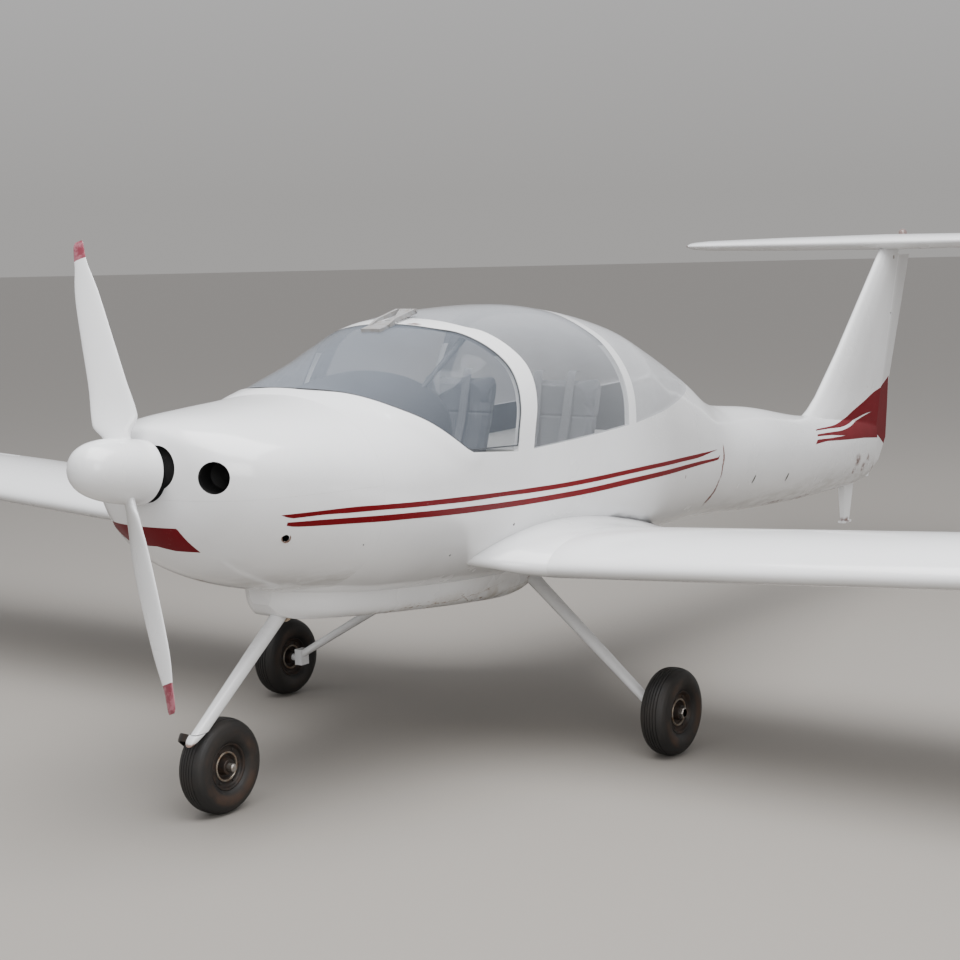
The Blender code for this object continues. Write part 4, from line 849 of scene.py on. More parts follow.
inlets = [turned_skin("inlet", [(-0.05, 0.056), (0.30, 0.056)], 64, *inlet_line(side)) for side, _ in SIDES]
port_hole = turned_skin("port_hole", [(0, 0.0150), (0.06, 0.0150)], 32, (0.415, at(0.585), 1.050),
                        (0.365, at(0.610), 1.060))
vent_hole = turned_skin("vent_hole", [(0, 0.0030), (0.06, 0.0030)], 16, (0.500, at(0.915), 0.990),
                        (0.450, at(0.930), 0.995))
front_notch = [bar("notch", (x, at(0.30), 1.317), (x, at(0.352), 1.317), 0.077, steps=64)
               for x in (0.064, -0.064)]
for name, low, high in (("cowling_upper", COWL_SPLIT + 0.0003, 1.7), ("cowling_lower", 0.5, COWL_SPLIT)):
    inner_wall = body_grid(cowl_stations[::-1], 144, COWL_WALL)
    wall = np.concatenate([with_lip(body_grid(cowl_stations, 144)), inner_wall])
    wall[len(cowl_stations) - 1] = body_grid(cowl_stations[-1:], 144)[0]
    shell = ring_skin(f"{name}_shell", wall, paint_nose)
    carve(shell, [block((-0.8, at(0.1), low), (0.8, at(1.3), high))], "INTERSECT")
    carve(shell, inlets + front_notch + [port_hole, vent_hole])
    done(shell, "airframe", "white_gelcoat", name)
    print(name, "faces:", len(shell.data.polygons))

# %% Ducts behind the inlets
# Columns: distance along, radius.
cup = [(0.0, 0.0575), (0.10, 0.0570), (0.16, 0.0500), (0.175, 0.020), (0.172, 0.001), (0.178, 0.001),
       (0.180, 0.022), (0.164, 0.054), (0.10, 0.0590), (0.0, 0.0590)]
for side, hand in SIDES:
    start, end = inlet_line(side)
    run = (end - start).normalized()
    lip = start + run * 0.105
    duct = ring_skin(f"inlet_duct_{hand}", moved(turned(cup, 48), aim(lip, lip + run)), engine_black)
    carve(duct, [skin("keep_inside", body_grid(cowl_stations, 96, COWL_WALL + 0.0002))], "INTERSECT")
    done(duct, "airframe", "engine_metal")
print("ducts ready")

# %% [markdown]
# ## Glazing
#
# The windscreen and canopy are one acrylic bubble that swings with the canopy. The panes behind
# the roof arches are fixed. Each is a strip of the body's own surface, six millimetres thick,
# trimmed by the same side outline as its opening, a hair smaller.

# %% Panes
def pane(name, outline, inset, front, rear, finish):
    """Shell between the body's surface and one glass thickness inside it, trimmed to an outline."""
    stations = closer(front, rear, 0.030)
    outside = body_grid(stations, 144)
    inside = body_grid(stations[::-1], 144, GLASS)
    thing = ring_skin(name, np.concatenate([outside, inside]), finish)
    return carve(thing, [prism(trimmed(outline, inset), -0.8, 0.8)], "INTERSECT")


canopy_pane = pane("canopy_pane", screen_outline, CANOPY_GAP, 0.985, 1.95, screen_glass)
done(canopy_pane, "canopy", "clear_glazing", "canopy_glass")
middle_pane = pane("middle_pane", middle_outline, 0.0003, 1.50, 2.90, side_glass)
done(middle_pane, "airframe", "clear_glazing", "middle_glazing")
rear_pane = pane("rear_pane", rear_outline, 0.0003, 2.40, 4.20, rear_glass)
done(rear_pane, "airframe", "clear_glazing", "rear_glazing")
print("panes:", [len(p.data.polygons) for p in (canopy_pane, middle_pane, rear_pane)])

# %% Canopy rim, under the edge of the bubble
rim_stations = closer(0.985, 1.95, 0.030)
rim_outside = body_grid(rim_stations, 144, GLASS + 0.0005)
rim_grid = np.concatenate([rim_outside, body_grid(rim_stations[::-1], 144, WALL)])
canopy_rim = ring_skin("canopy_rim", rim_grid, trim_dark)
carve(canopy_rim, [prism(trimmed(screen_outline, CANOPY_GAP + 0.001), -0.8, 0.8)], "INTERSECT")
relief = prism([(1.764, 1.6925), (1.750, 1.7020), (1.684, 1.7480), (1.660, 1.8000), (1.820, 1.8000),
                (1.820, 1.6925)], -0.8, 0.8)
carve(canopy_rim, [prism(trimmed(screen_outline, CANOPY_GAP + 0.019), -0.8, 0.8), relief])
done(canopy_rim, "canopy", "grey_trim", "canopy_frame")
print("canopy rim faces:", len(canopy_rim.data.polygons))


# %% Rubber seal round the canopy
def rim_line(run, inset, count=180):
    """Where a side outline meets the body from one side over the top to the other: for each angle
    round the section, bisection finds the place along the outline whose height is the section's."""
    run = np.asarray(run, float)
    distance = np.concatenate([[0], np.cumsum(np.linalg.norm(np.diff(run, axis=0), axis=1))])
    _, top, half, wide, upper, _ = body_values(run[0, 0])
    share = (run[0, 1] - wide) / (top - inset - wide)
    start = np.arcsin(np.clip(share, 0, 1) ** (upper / 2))
    angle = np.linspace(start, np.pi - start, count)
    rise, across = np.abs(np.sin(angle)), np.cos(angle)
    low, high = np.zeros(count), np.full(count, distance[-1])
    for _ in range(40):
        half_way = (low + high) / 2
        station = np.interp(half_way, distance, run[:, 0])
        height = np.interp(half_way, distance, run[:, 1])
        _, top, half, wide, upper, _ = body_values(station)
        surface = wide + (top - inset - wide) * rise ** (2 / upper)
        low = np.where(height < surface, half_way, low)
        high = np.where(height < surface, high, half_way)
    return np.column_stack([(half - inset) * fuller(across, 2 / upper), at(station), height])


SEAL_INSET, SEAL_SINK, SEAL_RADIUS = 0.0052, 0.0025, 0.0028
sills = len(sill_line)
seal_outline = inward(screen_outline, SEAL_INSET)
front_line = rim_line(seal_outline[1:sills][::-1], SEAL_SINK)[1:-1]
rear_line = rim_line(seal_outline[sills:], SEAL_SINK)[::-1][1:-1]
canopy_seal = closed_tube("canopy_seal", np.vstack([front_line, rear_line]), SEAL_RADIUS, seal_rubber, 8)
done(canopy_seal, "canopy", "grey_trim")
print("seal ready")

# %% [markdown]
# ## Red markings
#
# The stripes on a real aircraft are thin film laid on the shell. Each is made as a narrow strip
# of the body's own surface, a millimetre thick and half sunk in the shell, between an upper and
# a lower edge that tables give as heights. Two points at the ends close each stripe to a tip.

# %% Stripes along both sides
# Columns: station, upper stripe's top and bottom edge, lower stripe's top and bottom edge.
STRIPES = [
    (0.555, 1.1435, 1.143, 1.116, 1.1155), (0.600, 1.144, 1.128, 1.114, 1.098),
    (0.700, 1.144, 1.1285, 1.111, 1.090), (0.830, 1.143, 1.123, 1.105, 1.083),
    (0.960, 1.137, 1.118, 1.098, 1.075), (1.110, 1.129, 1.109, 1.090, 1.067),
    (1.275, 1.121, 1.101, 1.081, 1.057), (1.450, 1.1135, 1.0925, 1.0726, 1.0475),
    (1.645, 1.105, 1.087, 1.063, 1.039), (1.855, 1.0975, 1.0775, 1.055, 1.031),
    (2.080, 1.090, 1.070, 1.0485, 1.0245), (2.320, 1.086, 1.0655, 1.043, 1.019),
    (2.595, 1.082, 1.062, 1.040, 1.015), (2.910, 1.075, 1.055, 1.033, 1.0095),
    (3.300, 1.0615, 1.0425, 1.022, 1.0005), (3.600, 1.050, 1.033, 1.013, 0.9955),
    (3.880, 1.0405, 1.0395, 1.0015, 0.9895), (3.911, 1.040, 1.039, 1.0095, 1.009)]
FILM = 0.0012


def film(name, station, height, side, finish):
    """A thin strip on the shell: x comes from the shell's surface at each station and height."""
    x = side * np.maximum(body_side(station, height), fin_half(station, height))
    strip = sheet(name, np.stack([x, at(station), height], -1), finish, FILM)
    return done(strip, "airframe", "white_gelcoat")


def stripe(name, column, first, last, side):
    """One stripe between two columns of STRIPES, from its first to its last station."""
    u = np.linspace(0, 1, 150)[:, None]
    v = np.linspace(0, 1, 5)[None]
    station = first + (last - first) * u + 0 * v
    top, bottom = through(STRIPES, column, station), through(STRIPES, column + 1, station)
    return film(name, station, top + (bottom - top) * v, side, red_stripe)


for side, hand in SIDES:
    stripe(f"upper_stripe_{hand}", 1, 0.556, 3.870, side)
    stripe(f"lower_stripe_{hand}", 3, 0.583, 3.909, side)
print("stripes laid")

# %% Tail mark, in three bands with white gaps, and its end on the rudder
# Columns: station, height, and for a gap its half width.
MARK_TOP = [(5.425, 0.991), (5.441, 0.991), (5.726, 0.986), (5.944, 1.000), (6.111, 1.043), (6.283, 1.086),
            (6.469, 1.134), (6.733, 1.170), (6.800, 1.176)]
MARK_LOW = [(5.342, 0.918), (5.504, 0.917), (5.680, 0.906), (5.869, 0.892), (6.185, 0.872), (6.720, 0.820),
            (6.800, 0.812)]
GAP_UPPER = [(5.430, 0.975, 0.010), (5.684, 0.965, 0.010), (5.849, 0.958, 0.009), (6.000, 0.965, 0.008),
             (6.138, 0.983, 0.007), (6.312, 1.006, 0.004), (6.400, 1.012, 0.0), (6.800, 1.020, 0.0)]
GAP_LOWER = [(5.404, 0.947, 0.009), (5.636, 0.933, 0.008), (5.874, 0.919, 0.0), (6.800, 0.920, 0.0)]


# Columns: height, station of the rudder's trailing edge.
RUDDER_EDGE = [(0.608, 6.470), (0.690, 6.640), (0.822, 6.748), (1.170, 6.790), (1.965, 7.112)]


def nose_half(height):
    """Half thickness of the rudder at its hinge line, thinner towards the top."""
    return RUDDER_NOSE - 0.008 * (height - 0.6) / 1.4


def rudder_half(station, height):
    """Half thickness of the rudder: a round nose ahead of the hinge line, a straight taper behind it."""
    axis, edge, half = hinge_station(height), straight(RUDDER_EDGE, 1, height), nose_half(height)
    nose = np.sqrt(np.maximum(0, half ** 2 - (axis - station) ** 2))
    taper = half + (0.0015 - half) * (station - axis) / (edge - axis)
    return np.where(station < axis, nose, taper)


def band(name, start, top, low, side):
    """A band of the tail mark from a slanted start to just ahead of the rudder's gap. Each line
    along it ends where its own height meets the slanted gap, found by repeated substitution."""
    v = np.linspace(0, 1, 10)[None]
    begin = start[0] + (start[1] - start[0]) * v
    stop = np.full_like(v, 6.5)
    for _ in range(12):
        stop = hinge_station(top(stop) + (low(stop) - top(stop)) * v) - ahead - 0.0012
    station = begin + (stop - begin) * np.linspace(0, 1, 70)[:, None]
    return film(name, station, top(station) + (low(station) - top(station)) * v, side, red_tail)


def edge_line(rows, way=0):
    """The height along a table's line, moved up (1) or down (-1) by the gap's half width."""
    return lambda s: through(rows, 1, s) + (way * straight(rows, 2, s) if way else 0)


BANDS = (("upper", (5.441, 5.428), edge_line(MARK_TOP), edge_line(GAP_UPPER, 1)),
         ("middle", (5.422, 5.404), edge_line(GAP_UPPER, -1), edge_line(GAP_LOWER, 1)),
         ("lower", (5.385, 5.342), edge_line(GAP_LOWER, -1), edge_line(MARK_LOW)))
MARK_FOLD = 6.62       # station where the mark's two edges start to spread on the rudder
for side, hand in SIDES:
    for place, start, top, low in BANDS:
        band(f"tail_band_{place}_{hand}", start, top, low, side)
    v = np.linspace(0, 1, 24)[None]
    fold_top = through(MARK_TOP, 1, MARK_FOLD)
    height = fold_top + (through(MARK_LOW, 1, MARK_FOLD) - fold_top) * v
    first, last = hinge_station(height) - 0.020, straight(RUDDER_EDGE, 1, height) - 0.002
    station = first + (last - first) * np.linspace(0, 1, 30)[:, None]
    height = height + (station - MARK_FOLD) * (0.30 * (1 - v) - 0.48 * v)
    station = np.minimum(station, straight(RUDDER_EDGE, 1, height) - 0.002)
    patch = np.stack([side * rudder_half(station, height), at(station), height], -1)
    done(sheet(f"rudder_mark_{hand}", patch, red_tail, FILM), "rudder", "white_gelcoat")
print("tail mark laid")


# %% Red mark under the nose
def nose_station(x, height):
    """Station where the nose's surface passes a point seen from ahead, by bisection."""
    low, high = np.full(np.shape(x), 0.3181), np.full(np.shape(x), 0.95)
    for _ in range(40):
        middle = (low + high) / 2
        outside = body_side(middle, height) < np.abs(x)
        low, high = np.where(outside, middle, low), np.where(outside, high, middle)
    return (low + high) / 2


# Columns: distance across, height.
CHIN_TOP = [(-0.290, 1.075), (-0.262, 1.098), (0.115, 1.104), (0.158, 1.0145)]
CHIN_LOW = [(-0.290, 1.070), (-0.168, 1.022), (-0.011, 1.029), (0.067, 1.016), (0.158, 1.0140)]
x = np.linspace(-0.290, 0.158, 90)[:, None]
v = np.linspace(0, 1, 12)[None]
height = straight(CHIN_TOP, 1, x) + (straight(CHIN_LOW, 1, x) - straight(CHIN_TOP, 1, x)) * v
across = x + 0 * v
station = nose_station(across, height)
chin = sheet("chin_mark", np.stack([across, at(station), height], -1), red_tail, FILM)
done(chin, "airframe", "white_gelcoat")
print("chin mark runs over", np.round(np.ptp(station), 3), "m of the length")

# %% [markdown]
# ## Wings
#
# The wing is one long skin of cambered sections. Its trailing part at the outer half is the
# aileron, a separate skin with a round nose that turns in the wing's notch. Two thin plates
# carry its pins. The airbrake lies in a slot on the upper surface, flush with it when closed.

# %% Wing skins with the aileron's room and the airbrake's slot
AILERON_SPAN, AILERON_SHARE, AILERON_SLIMMER = (5.300, 7.750), 0.80, 0.97
AIRBRAKE_SPAN, AIRBRAKE_STATION = (3.050, 4.350), 2.335
HINGE_EYE, PIN, HOLE = 0.011, 0.004, 0.0046


def wing_read(rows, column, across):
    """Straight lines between the wing's stations, and a soft curve through the rounded tip."""
    return np.where(across <= rows[4][0], straight(rows, column, across), through(rows[4:], column, across))


def aileron_axis(across):
    """Hinge point on the mean line at 80% of the chord, and the section's half thickness there."""
    front, height, chord, thick, angle = (wing_read(WING, k, across) for k in range(1, 6))
    lift = camber_line(AILERON_SHARE) * chord
    half = AILERON_SLIMMER * chord * thick * half_thickness(AILERON_SHARE)
    return *on_section(front, height, chord, angle, AILERON_SHARE, lift), half


def upper_surface(across, station):
    """Height of the wing's upper surface at a place."""
    front, height, chord, thick, angle = (wing_read(WING, k, across) for k in range(1, 6))
    turn = np.radians(angle)
    share = (station - front) / chord / np.cos(turn)
    up = (camber_line(share) + half_thickness(share) * thick) * chord
    return float(height + up * np.cos(turn) - share * chord * np.sin(turn))


def span_bar(side, spread, half, low, high):
    """Cutter along the airbrake's span, following the wing's upper surface."""
    ends = [(side * (place + way * spread), upper_surface(place, AIRBRAKE_STATION))
            for place, way in zip(AIRBRAKE_SPAN, (-1, 1))]
    y = at(AIRBRAKE_STATION)
    return skin("bar", np.array([[(x, y - half, z + low), (x, y + half, z + low), (x, y + half, z + high),
                                  (x, y - half, z + high)] for x, z in ends]))


def hinge_frame(centre, axis, aft=(0, 1, 0)):
    """Local frame of a hinge: its X along the pin, its Y aft."""
    axis = Vector(axis).normalized()
    aft = (Vector(aft) - Vector(aft).dot(axis) * axis).normalized()
    place = Matrix((axis, aft, axis.cross(aft))).transposed().to_4x4()
    place.translation = Vector(centre)
    return place


def add_hinge(fixed, moving, centre, axis):
    """A plate with an eye on the fixed part, a pin on the moving part in a notch."""
    place = hinge_frame(centre, axis)
    plate, notch, deep = 0.003, 0.008, 0.075
    span = [place @ Vector((k * (notch + 0.004), 0, 0)) for k in (-1, 1)]
    hole = [place @ Vector((k * notch, 0, 0)) for k in (-1, 1)]
    carve(fixed, [block((-plate, -deep, -HINGE_EYE), (plate, HINGE_EYE, HINGE_EYE), place)], "UNION")
    carve(fixed, [bar("hole", *hole, HOLE)])
    carve(moving, [block((-notch, -0.2, -0.2), (notch, HINGE_EYE + MOVING_GAP, 0.2), place)])
    carve(moving, [bar("pin", *span, PIN)], "UNION")


def aileron_grid(side):
    """Aileron sections: a half circle round the hinge line, then the wing section's last part."""
    places = np.linspace(AILERON_SPAN[0] + MOVING_GAP, AILERON_SPAN[1] - MOVING_GAP, 40)[:, None]
    y, z, half = aileron_axis(places)
    front, height, chord, thick, angle = (wing_read(WING, k, places) for k in range(1, 6))
    lean = np.pi / 2 + np.pi * np.linspace(0, 1, 20)[None] - np.radians(angle)
    aft = np.linspace(0.84, 1.0, 6)
    share = np.concatenate([aft, aft[::-1]])[None]
    face = np.repeat([-1.0, 1.0], 6)[None]
    wall = np.maximum(0.0008, AILERON_SLIMMER * chord * thick * half_thickness(share))
    tail_y, tail_z = on_section(front, height, chord, angle, share, camber_line(share) * chord + face * wall)
    y_all = np.concatenate([y + half * np.cos(lean), tail_y], 1)
    z_all = np.concatenate([z + half * np.sin(lean), tail_z], 1)
    return np.stack([side * np.broadcast_to(places, y_all.shape), y_all, z_all], -1)


spans = np.concatenate([np.linspace(0.720, 7.750, 60), np.linspace(7.80, 8.165, 12)])
for side, hand in SIDES:
    wing = skin(f"wing_skin_{hand}", wing_grid(spans, WING, side, wing_read, 46), paint_wing)
    inner, outer_end = AILERON_SPAN
    (y_in, z_in, half_in), (y_out, z_out, half_out) = (aileron_axis(place) for place in AILERON_SPAN)
    plan = [(inner, y_in - half_in - MOVING_GAP), (outer_end, y_out - half_out - MOVING_GAP),
            (outer_end, at(3.4)), (inner, at(3.4))]
    room = skin("room", np.array([[(side * x, y, z) for x, y in plan] for z in (0.7, 1.6)]))
    pocket = span_bar(side, 0.005, 0.010 + MOVING_GAP, -0.105, 0.08)
    recess = span_bar(side, 0.013, 0.026, -0.0059, 0.08)
    carve(wing, [room, pocket, recess])
    aileron = skin(f"aileron_skin_{hand}", aileron_grid(side), paint_wing)
    start = Vector((side * inner, float(y_in), float(z_in)))
    end = Vector((side * outer_end, float(y_out), float(z_out)))
    for share_out in (0.2, 0.8):
        add_hinge(wing, aileron, start.lerp(end, share_out), end - start)
    done(wing, "airframe", "white_gelcoat", f"wing_{hand}")
    done(aileron, f"aileron_{hand}", "white_gelcoat", f"aileron_{hand}")
print("wing span:", 2 * spans[-1])

# %% [markdown]
# ## Tail
#
# The tailplane sits on top of the fin. Its elevator and the rudder turn on pins in thin plates,
# each with a round nose, so that the gap stays the same when they move.

# %% Tailplane and elevator
ELEVATOR_HINGE, ELEVATOR_HALF_SPAN, RUDDER_TOP = 7.085, 1.240, 1.965


def redden_tips(made):
    """Dull red at the front of both tailplane tips, beyond a distance from the middle."""
    where = own_place(made)
    away = calculate(made, "ABSOLUTE", axis_of(made, where, 0))
    ahead_of = steps_of(made, axis_of(made, where, 1), at(6.86), at(6.80))
    tip = times(made, steps_of(made, away, 1.362, 1.372), ahead_of)
    connect(made, Base_Color=tint(made, tip, colour_of(made), (0.200, 0.030, 0.035)))


redden_tips(paint_tail)
tailplane = skin("tailplane_skin", tailplane_grid(tail_span, 0.0, 40), paint_tail)
middle_chord = STABILISER[0][2] - STABILISER[0][1]
nose = STABILISER[0][3] * half_thickness((ELEVATOR_HINGE - STABILISER[0][1]) / middle_chord)
reach = ELEVATOR_HALF_SPAN + MOVING_GAP
carve(tailplane, [block((-reach, at(ELEVATOR_HINGE) - nose - MOVING_GAP, 1.8), (reach, at(7.6), 2.3))])
places = np.linspace(-ELEVATOR_HALF_SPAN, ELEVATOR_HALF_SPAN, 81)[:, None]
front, rear, thick = (straight(STABILISER, k, np.abs(places)) for k in (1, 2, 3))
half = thick * half_thickness((ELEVATOR_HINGE - front) / (rear - front))
angle = np.pi / 2 + np.pi * np.linspace(0, 1, 18)[None]
share = (ELEVATOR_HINGE - front) / (rear - front)
share = share + (1 - share) * np.array([[0.35, 0.6, 0.85, 1.0, 1.0, 0.85, 0.6, 0.35]])
face = np.repeat([-1, 1], 4)[None]
y_all = np.concatenate([at(ELEVATOR_HINGE) + half * np.cos(angle), at(front + share * (rear - front))], 1)
up = face * np.maximum(0.001, thick * half_thickness(share) * 0.995)
z_all = STABILISER_HEIGHT + np.concatenate([half * np.sin(angle), up], 1)
grid = np.stack([np.broadcast_to(places, y_all.shape), y_all, z_all], -1)
elevator = skin("elevator_skin", grid, paint_tail)
for across in (-0.62, 0.62):
    add_hinge(tailplane, elevator, (across, at(ELEVATOR_HINGE), STABILISER_HEIGHT), (1, 0, 0))
done(tailplane, "airframe", "white_gelcoat", "stabiliser")
done(elevator, "elevator", "white_gelcoat", "elevator")
print("tailplane and elevator ready")

# %% Rudder and lamp
levels = np.unique(np.concatenate([np.linspace(0.612, 0.86, 14), np.linspace(0.86, RUDDER_TOP, 34)]))[:, None]
axis, edge, half = hinge_station(levels), straight(RUDDER_EDGE, 1, levels), nose_half(levels)
angle = np.pi / 2 + np.pi * np.linspace(0, 1, 20)[None]
aft = np.array([[0.3, 0.6, 0.85, 1.0, 1.0, 0.85, 0.6, 0.3]])
x_all = np.concatenate([half * np.sin(angle), face * (half + (0.0015 - half) * aft)], 1)
y_all = np.concatenate([at(axis + half * np.cos(angle)), at(axis + (edge - axis) * aft)], 1)
grid = np.stack([x_all, y_all, np.broadcast_to(levels, x_all.shape)], -1)
rudder = skin("rudder_skin", grid, paint_tail)
low, high = ((0, at(s), z) for s, z in (HINGE_LOW, HINGE_HIGH))
for height in (0.900, 1.600):
    add_hinge(fuselage, rudder, (0, at(hinge_station(height)), height), Vector(high) - Vector(low))
done(rudder, "rudder", "white_gelcoat", "rudder")

dome = [(0.0, 0.028), (0.010, 0.0285), (0.012, 0.0270), (0.016, 0.0265), (0.030, 0.0262), (0.038, 0.0235),
        (0.044, 0.0190), (0.0485, 0.0130), (0.0512, 0.0065), (0.052, 0.0010)]
lens = turned_skin("beacon_dome", dome, 40, (0, at(7.012), 2.075), (0, at(7.012), 2.2), red_lamp)
carve(lens, [tail_seat])
done(lens, "airframe", "lamp_plastic", "beacon")
print("rudder and lamp ready")

# %% [markdown]
# ## Propeller
#
# The spinner is a turned dome. The blades are rows of oval sections that twist and thin towards
# the tip, and both follow the tilted thrust line. The red tips are part of the blade's paint:
# the finish measures how far along the blade a point lies.

# %% Spinner, back plate and blades
THRUST_TILT = math.radians(8.6)
TIP_HEIGHT, SPINNER_LENGTH, BLADE_STATION = 1.345, 0.300, 0.225
BLADE_ANGLE = math.radians(-20.7)
SPINNER = [(0.0, 0.004), (0.003, 0.026), (0.012, 0.049), (0.036, 0.075), (0.080, 0.095), (0.145, 0.108),
           (0.220, 0.1135), (SPINNER_LENGTH, 0.114)]
# Columns: distance from the thrust line, chord, shift along the chord, thickness, twist in degrees.
BLADE = [(0.060, 0.090, 0.000, 0.036, 36), (0.116, 0.090, 0.000, 0.036, 36),
         (0.184, 0.160, 0.004, 0.030, 33), (0.316, 0.141, 0.002, 0.024, 22),
         (0.489, 0.121, -0.004, 0.018, 16), (0.640, 0.099, -0.009, 0.014, 13),
         (0.700, 0.081, -0.010, 0.012, 12), (0.767, 0.054, -0.009, 0.010, 11),
         (0.838, 0.044, -0.003, 0.008, 10), (0.850, 0.036, 0.000, 0.006, 10)]


def thrust_frame(station):
    """Frame on the thrust line, with its Y aft along it."""
    turn = Matrix.Rotation(-THRUST_TILT, 4, "X")
    return Matrix.Translation((0, at(0.0), TIP_HEIGHT)) @ turn @ Matrix.Translation((0, station, 0))


root = np.linspace(0, math.sqrt(SPINNER_LENGTH), 48) ** 2
roots = [(math.sqrt(a), r) for a, r in SPINNER]
outline = np.column_stack([root, through(roots, 1, np.sqrt(root))])
outline = np.vstack([outline, [(SPINNER_LENGTH + 0.0005, 0.1125), (SPINNER_LENGTH - 0.012, 0.110),
                               (SPINNER_LENGTH - 0.012, 0.020)]])
spinner = skin("spinner_shell", moved(turned(outline, 96), thrust_frame(0.0)), paint_nose)
done(spinner, "propeller", "white_gelcoat", "spinner")
blade_axis = (thrust_frame(0.0) @ Matrix.Rotation(BLADE_ANGLE, 4, "Y")).to_3x3() @ Vector((0, 0, 1))
hub = thrust_frame(BLADE_STATION).translation


def blade_paint():
    """White gelcoat with red tips, set by the distance along the blades from the hub."""
    made = gelcoat("blade_paint")
    where = add_node(made, "VectorMath", {0: own_place(made), 1: list(hub)}, operation="SUBTRACT").outputs[0]
    along = add_node(made, "VectorMath", {0: where, 1: list(blade_axis)}, operation="DOT_PRODUCT")
    along = calculate(made, "MULTIPLY_ADD", noise(made, 60.0, 3.0, 0.6), 0.004, along.outputs["Value"])
    tips = most(made, [steps_of(made, along, 0.785, 0.787), steps_of(made, along, -0.747, -0.749)])
    faded = steps_of(made, noise(made, 30.0, 4.0, 0.7), 0.40, 0.62)
    red = tint(made, faded, (0.200, 0.022, 0.042), (0.330, 0.110, 0.140))
    connect(made, Base_Color=tint(made, tips, colour_of(made), red))
    return made


paint_blades = blade_paint()
out = np.concatenate([np.linspace(0.060, 0.838, 70), [0.842, 0.846, 0.8485, 0.850]])[:, None]
chord, shift, thick, twist = (through(BLADE, k, out) for k in (1, 2, 3, 4))
soft = np.sqrt(np.clip((0.8515 - out) / 0.0135, 0.05, 1))
angle = round_angles(44)[None]
a = shift + chord / 2 * np.cos(angle) * (0.75 + 0.25 * soft)
b = thick / 2 * np.sin(angle) * soft
lean = np.radians(twist)
blade_grid = np.stack([a * np.cos(lean) - b * np.sin(lean), a * np.sin(lean) + b * np.cos(lean),
                       np.broadcast_to(out, a.shape)], -1)
for name, turn in (("blade_upper", BLADE_ANGLE), ("blade_lower", BLADE_ANGLE + math.pi)):
    place = thrust_frame(BLADE_STATION) @ Matrix.Rotation(turn, 4, "Y")
    done(skin(f"{name}_skin", moved(blade_grid, place), paint_blades), "propeller", "white_gelcoat", name)
print("propeller pieces ready")

# %% Dark plate in the nose opening, with rings like cooling fins
plate = [(0.0, 0.126), (0.004, 0.128)]
for radius in np.linspace(0.124, 0.062, 11):
    plate += [(0.004, radius), (0.0075, radius - 0.0015), (0.0075, radius - 0.0035), (0.004, radius - 0.005)]
plate += [(0.004, 0.048), (0.0, 0.046)]
plate_place = aim((0, at(0.352), 1.300), (0, at(0.30), 1.300))
done(ring_skin("nose_plate", moved(turned(plate, 72), plate_place), engine_black), "airframe", "engine_metal")
print("nose plate ready")

# %% Rusty bead round the port in the cowl's side
bead_place = aim((0.394, at(0.598), 1.057), (0.344, at(0.623), 1.067))
bead = [(-0.0015, 0.0150), (-0.0030, 0.0165), (-0.0015, 0.0185), (0.0040, 0.0180), (0.0060, 0.0150)]
rusty = mottled("rusty_bead", (0.120, 0.060, 0.040), (0.300, 0.230, 0.190), 0.7, 60.0, 0.0006)
done(ring_skin("port_bead", moved(turned(bead, 36), bead_place), rusty), "airframe", "dark_metal")
print("port bead ready")

# %% Near-black plates as painted shade inside slits in the tail boom, and a worn spot under the tailplane
PROUD = 0.0002         # how far these small plates' middle stands off the shell
u, v = np.linspace(-1, 1, 12)[:, None], np.linspace(-1, 1, 6)[None]
for side, hand in SIDES:
    for number, (middle, level) in enumerate(((4.438, 0.825), (4.914, 0.781))):
        # Each slit is a near-black plate on the shell: painted shade standing for the dark inside an opening.
        height = level + 0.021 * u + 0 * v
        station = middle + 0.012 * u + 0.0085 * v * np.sqrt(np.maximum(0.05, 1 - u ** 2))
        grid = np.stack([side * (body_side(station, height) + PROUD), at(station), height], -1)
        done(sheet(f"boom_slit_{hand}_{number}", grid, dark_steel, 0.0010), "airframe", "dark_metal")
angle, out = round_angles(28)[:, None], np.array([[0.0035, 0.0065, 0.0095, 0.0115]])
station, height = 6.780 + out * np.cos(angle), 1.950 + out * np.sin(angle)
worn_metal = mottled("worn_patch", (0.30, 0.27, 0.24), (0.14, 0.09, 0.07), 0.55, 80.0, 0.0004)
patch = np.stack([fin_half(station, height) + PROUD, at(station), height], -1)
patch = np.concatenate([patch, patch[:1]])
done(sheet("fin_worn_spot", patch, worn_metal, 0.0010), "airframe", "dark_metal")
print("slits and worn spot ready")

# %% Rusty smears where the tail boom meets the cabin
# Columns: height, station, half width.
SMEAR = [(0.772, 3.866, 0.003), (0.790, 3.886, 0.014), (0.815, 3.899, 0.010), (0.850, 3.912, 0.005),
         (0.890, 3.930, 0.002), (0.930, 3.945, 0.003), (0.960, 3.958, 0.007), (1.000, 3.974, 0.008),
         (1.030, 3.982, 0.005), (1.050, 3.985, 0.001)]
rust_film = mottled("rust_film", (0.110, 0.022, 0.016), (0.210, 0.090, 0.070), 0.75, 70.0, 0.0004)
height = np.linspace(SMEAR[0][0], SMEAR[-1][0], 90)[:, None]
ragged = 1 + 0.25 * np.sin(height * 310) + 0.18 * np.sin(height * 730 + 1)
station = straight(SMEAR, 1, height) + straight(SMEAR, 2, height) * ragged * np.linspace(-1, 1, 7)[None]
for side, hand in SIDES:
    film(f"boom_rust_{hand}", station, height + 0 * station, side, rust_film)
print("smears laid")

# %% [markdown]
# ## Undercarriage
#
# The belly fairing is one soft bulb with a flat floor. Its section is a rounded box whose upper
# and lower halves have their own widths. The legs are sprung blades with oval sections, and the
# wheels are turned profiles: the tyre has grooves, a shoulder and a bead, the hub two flanges.

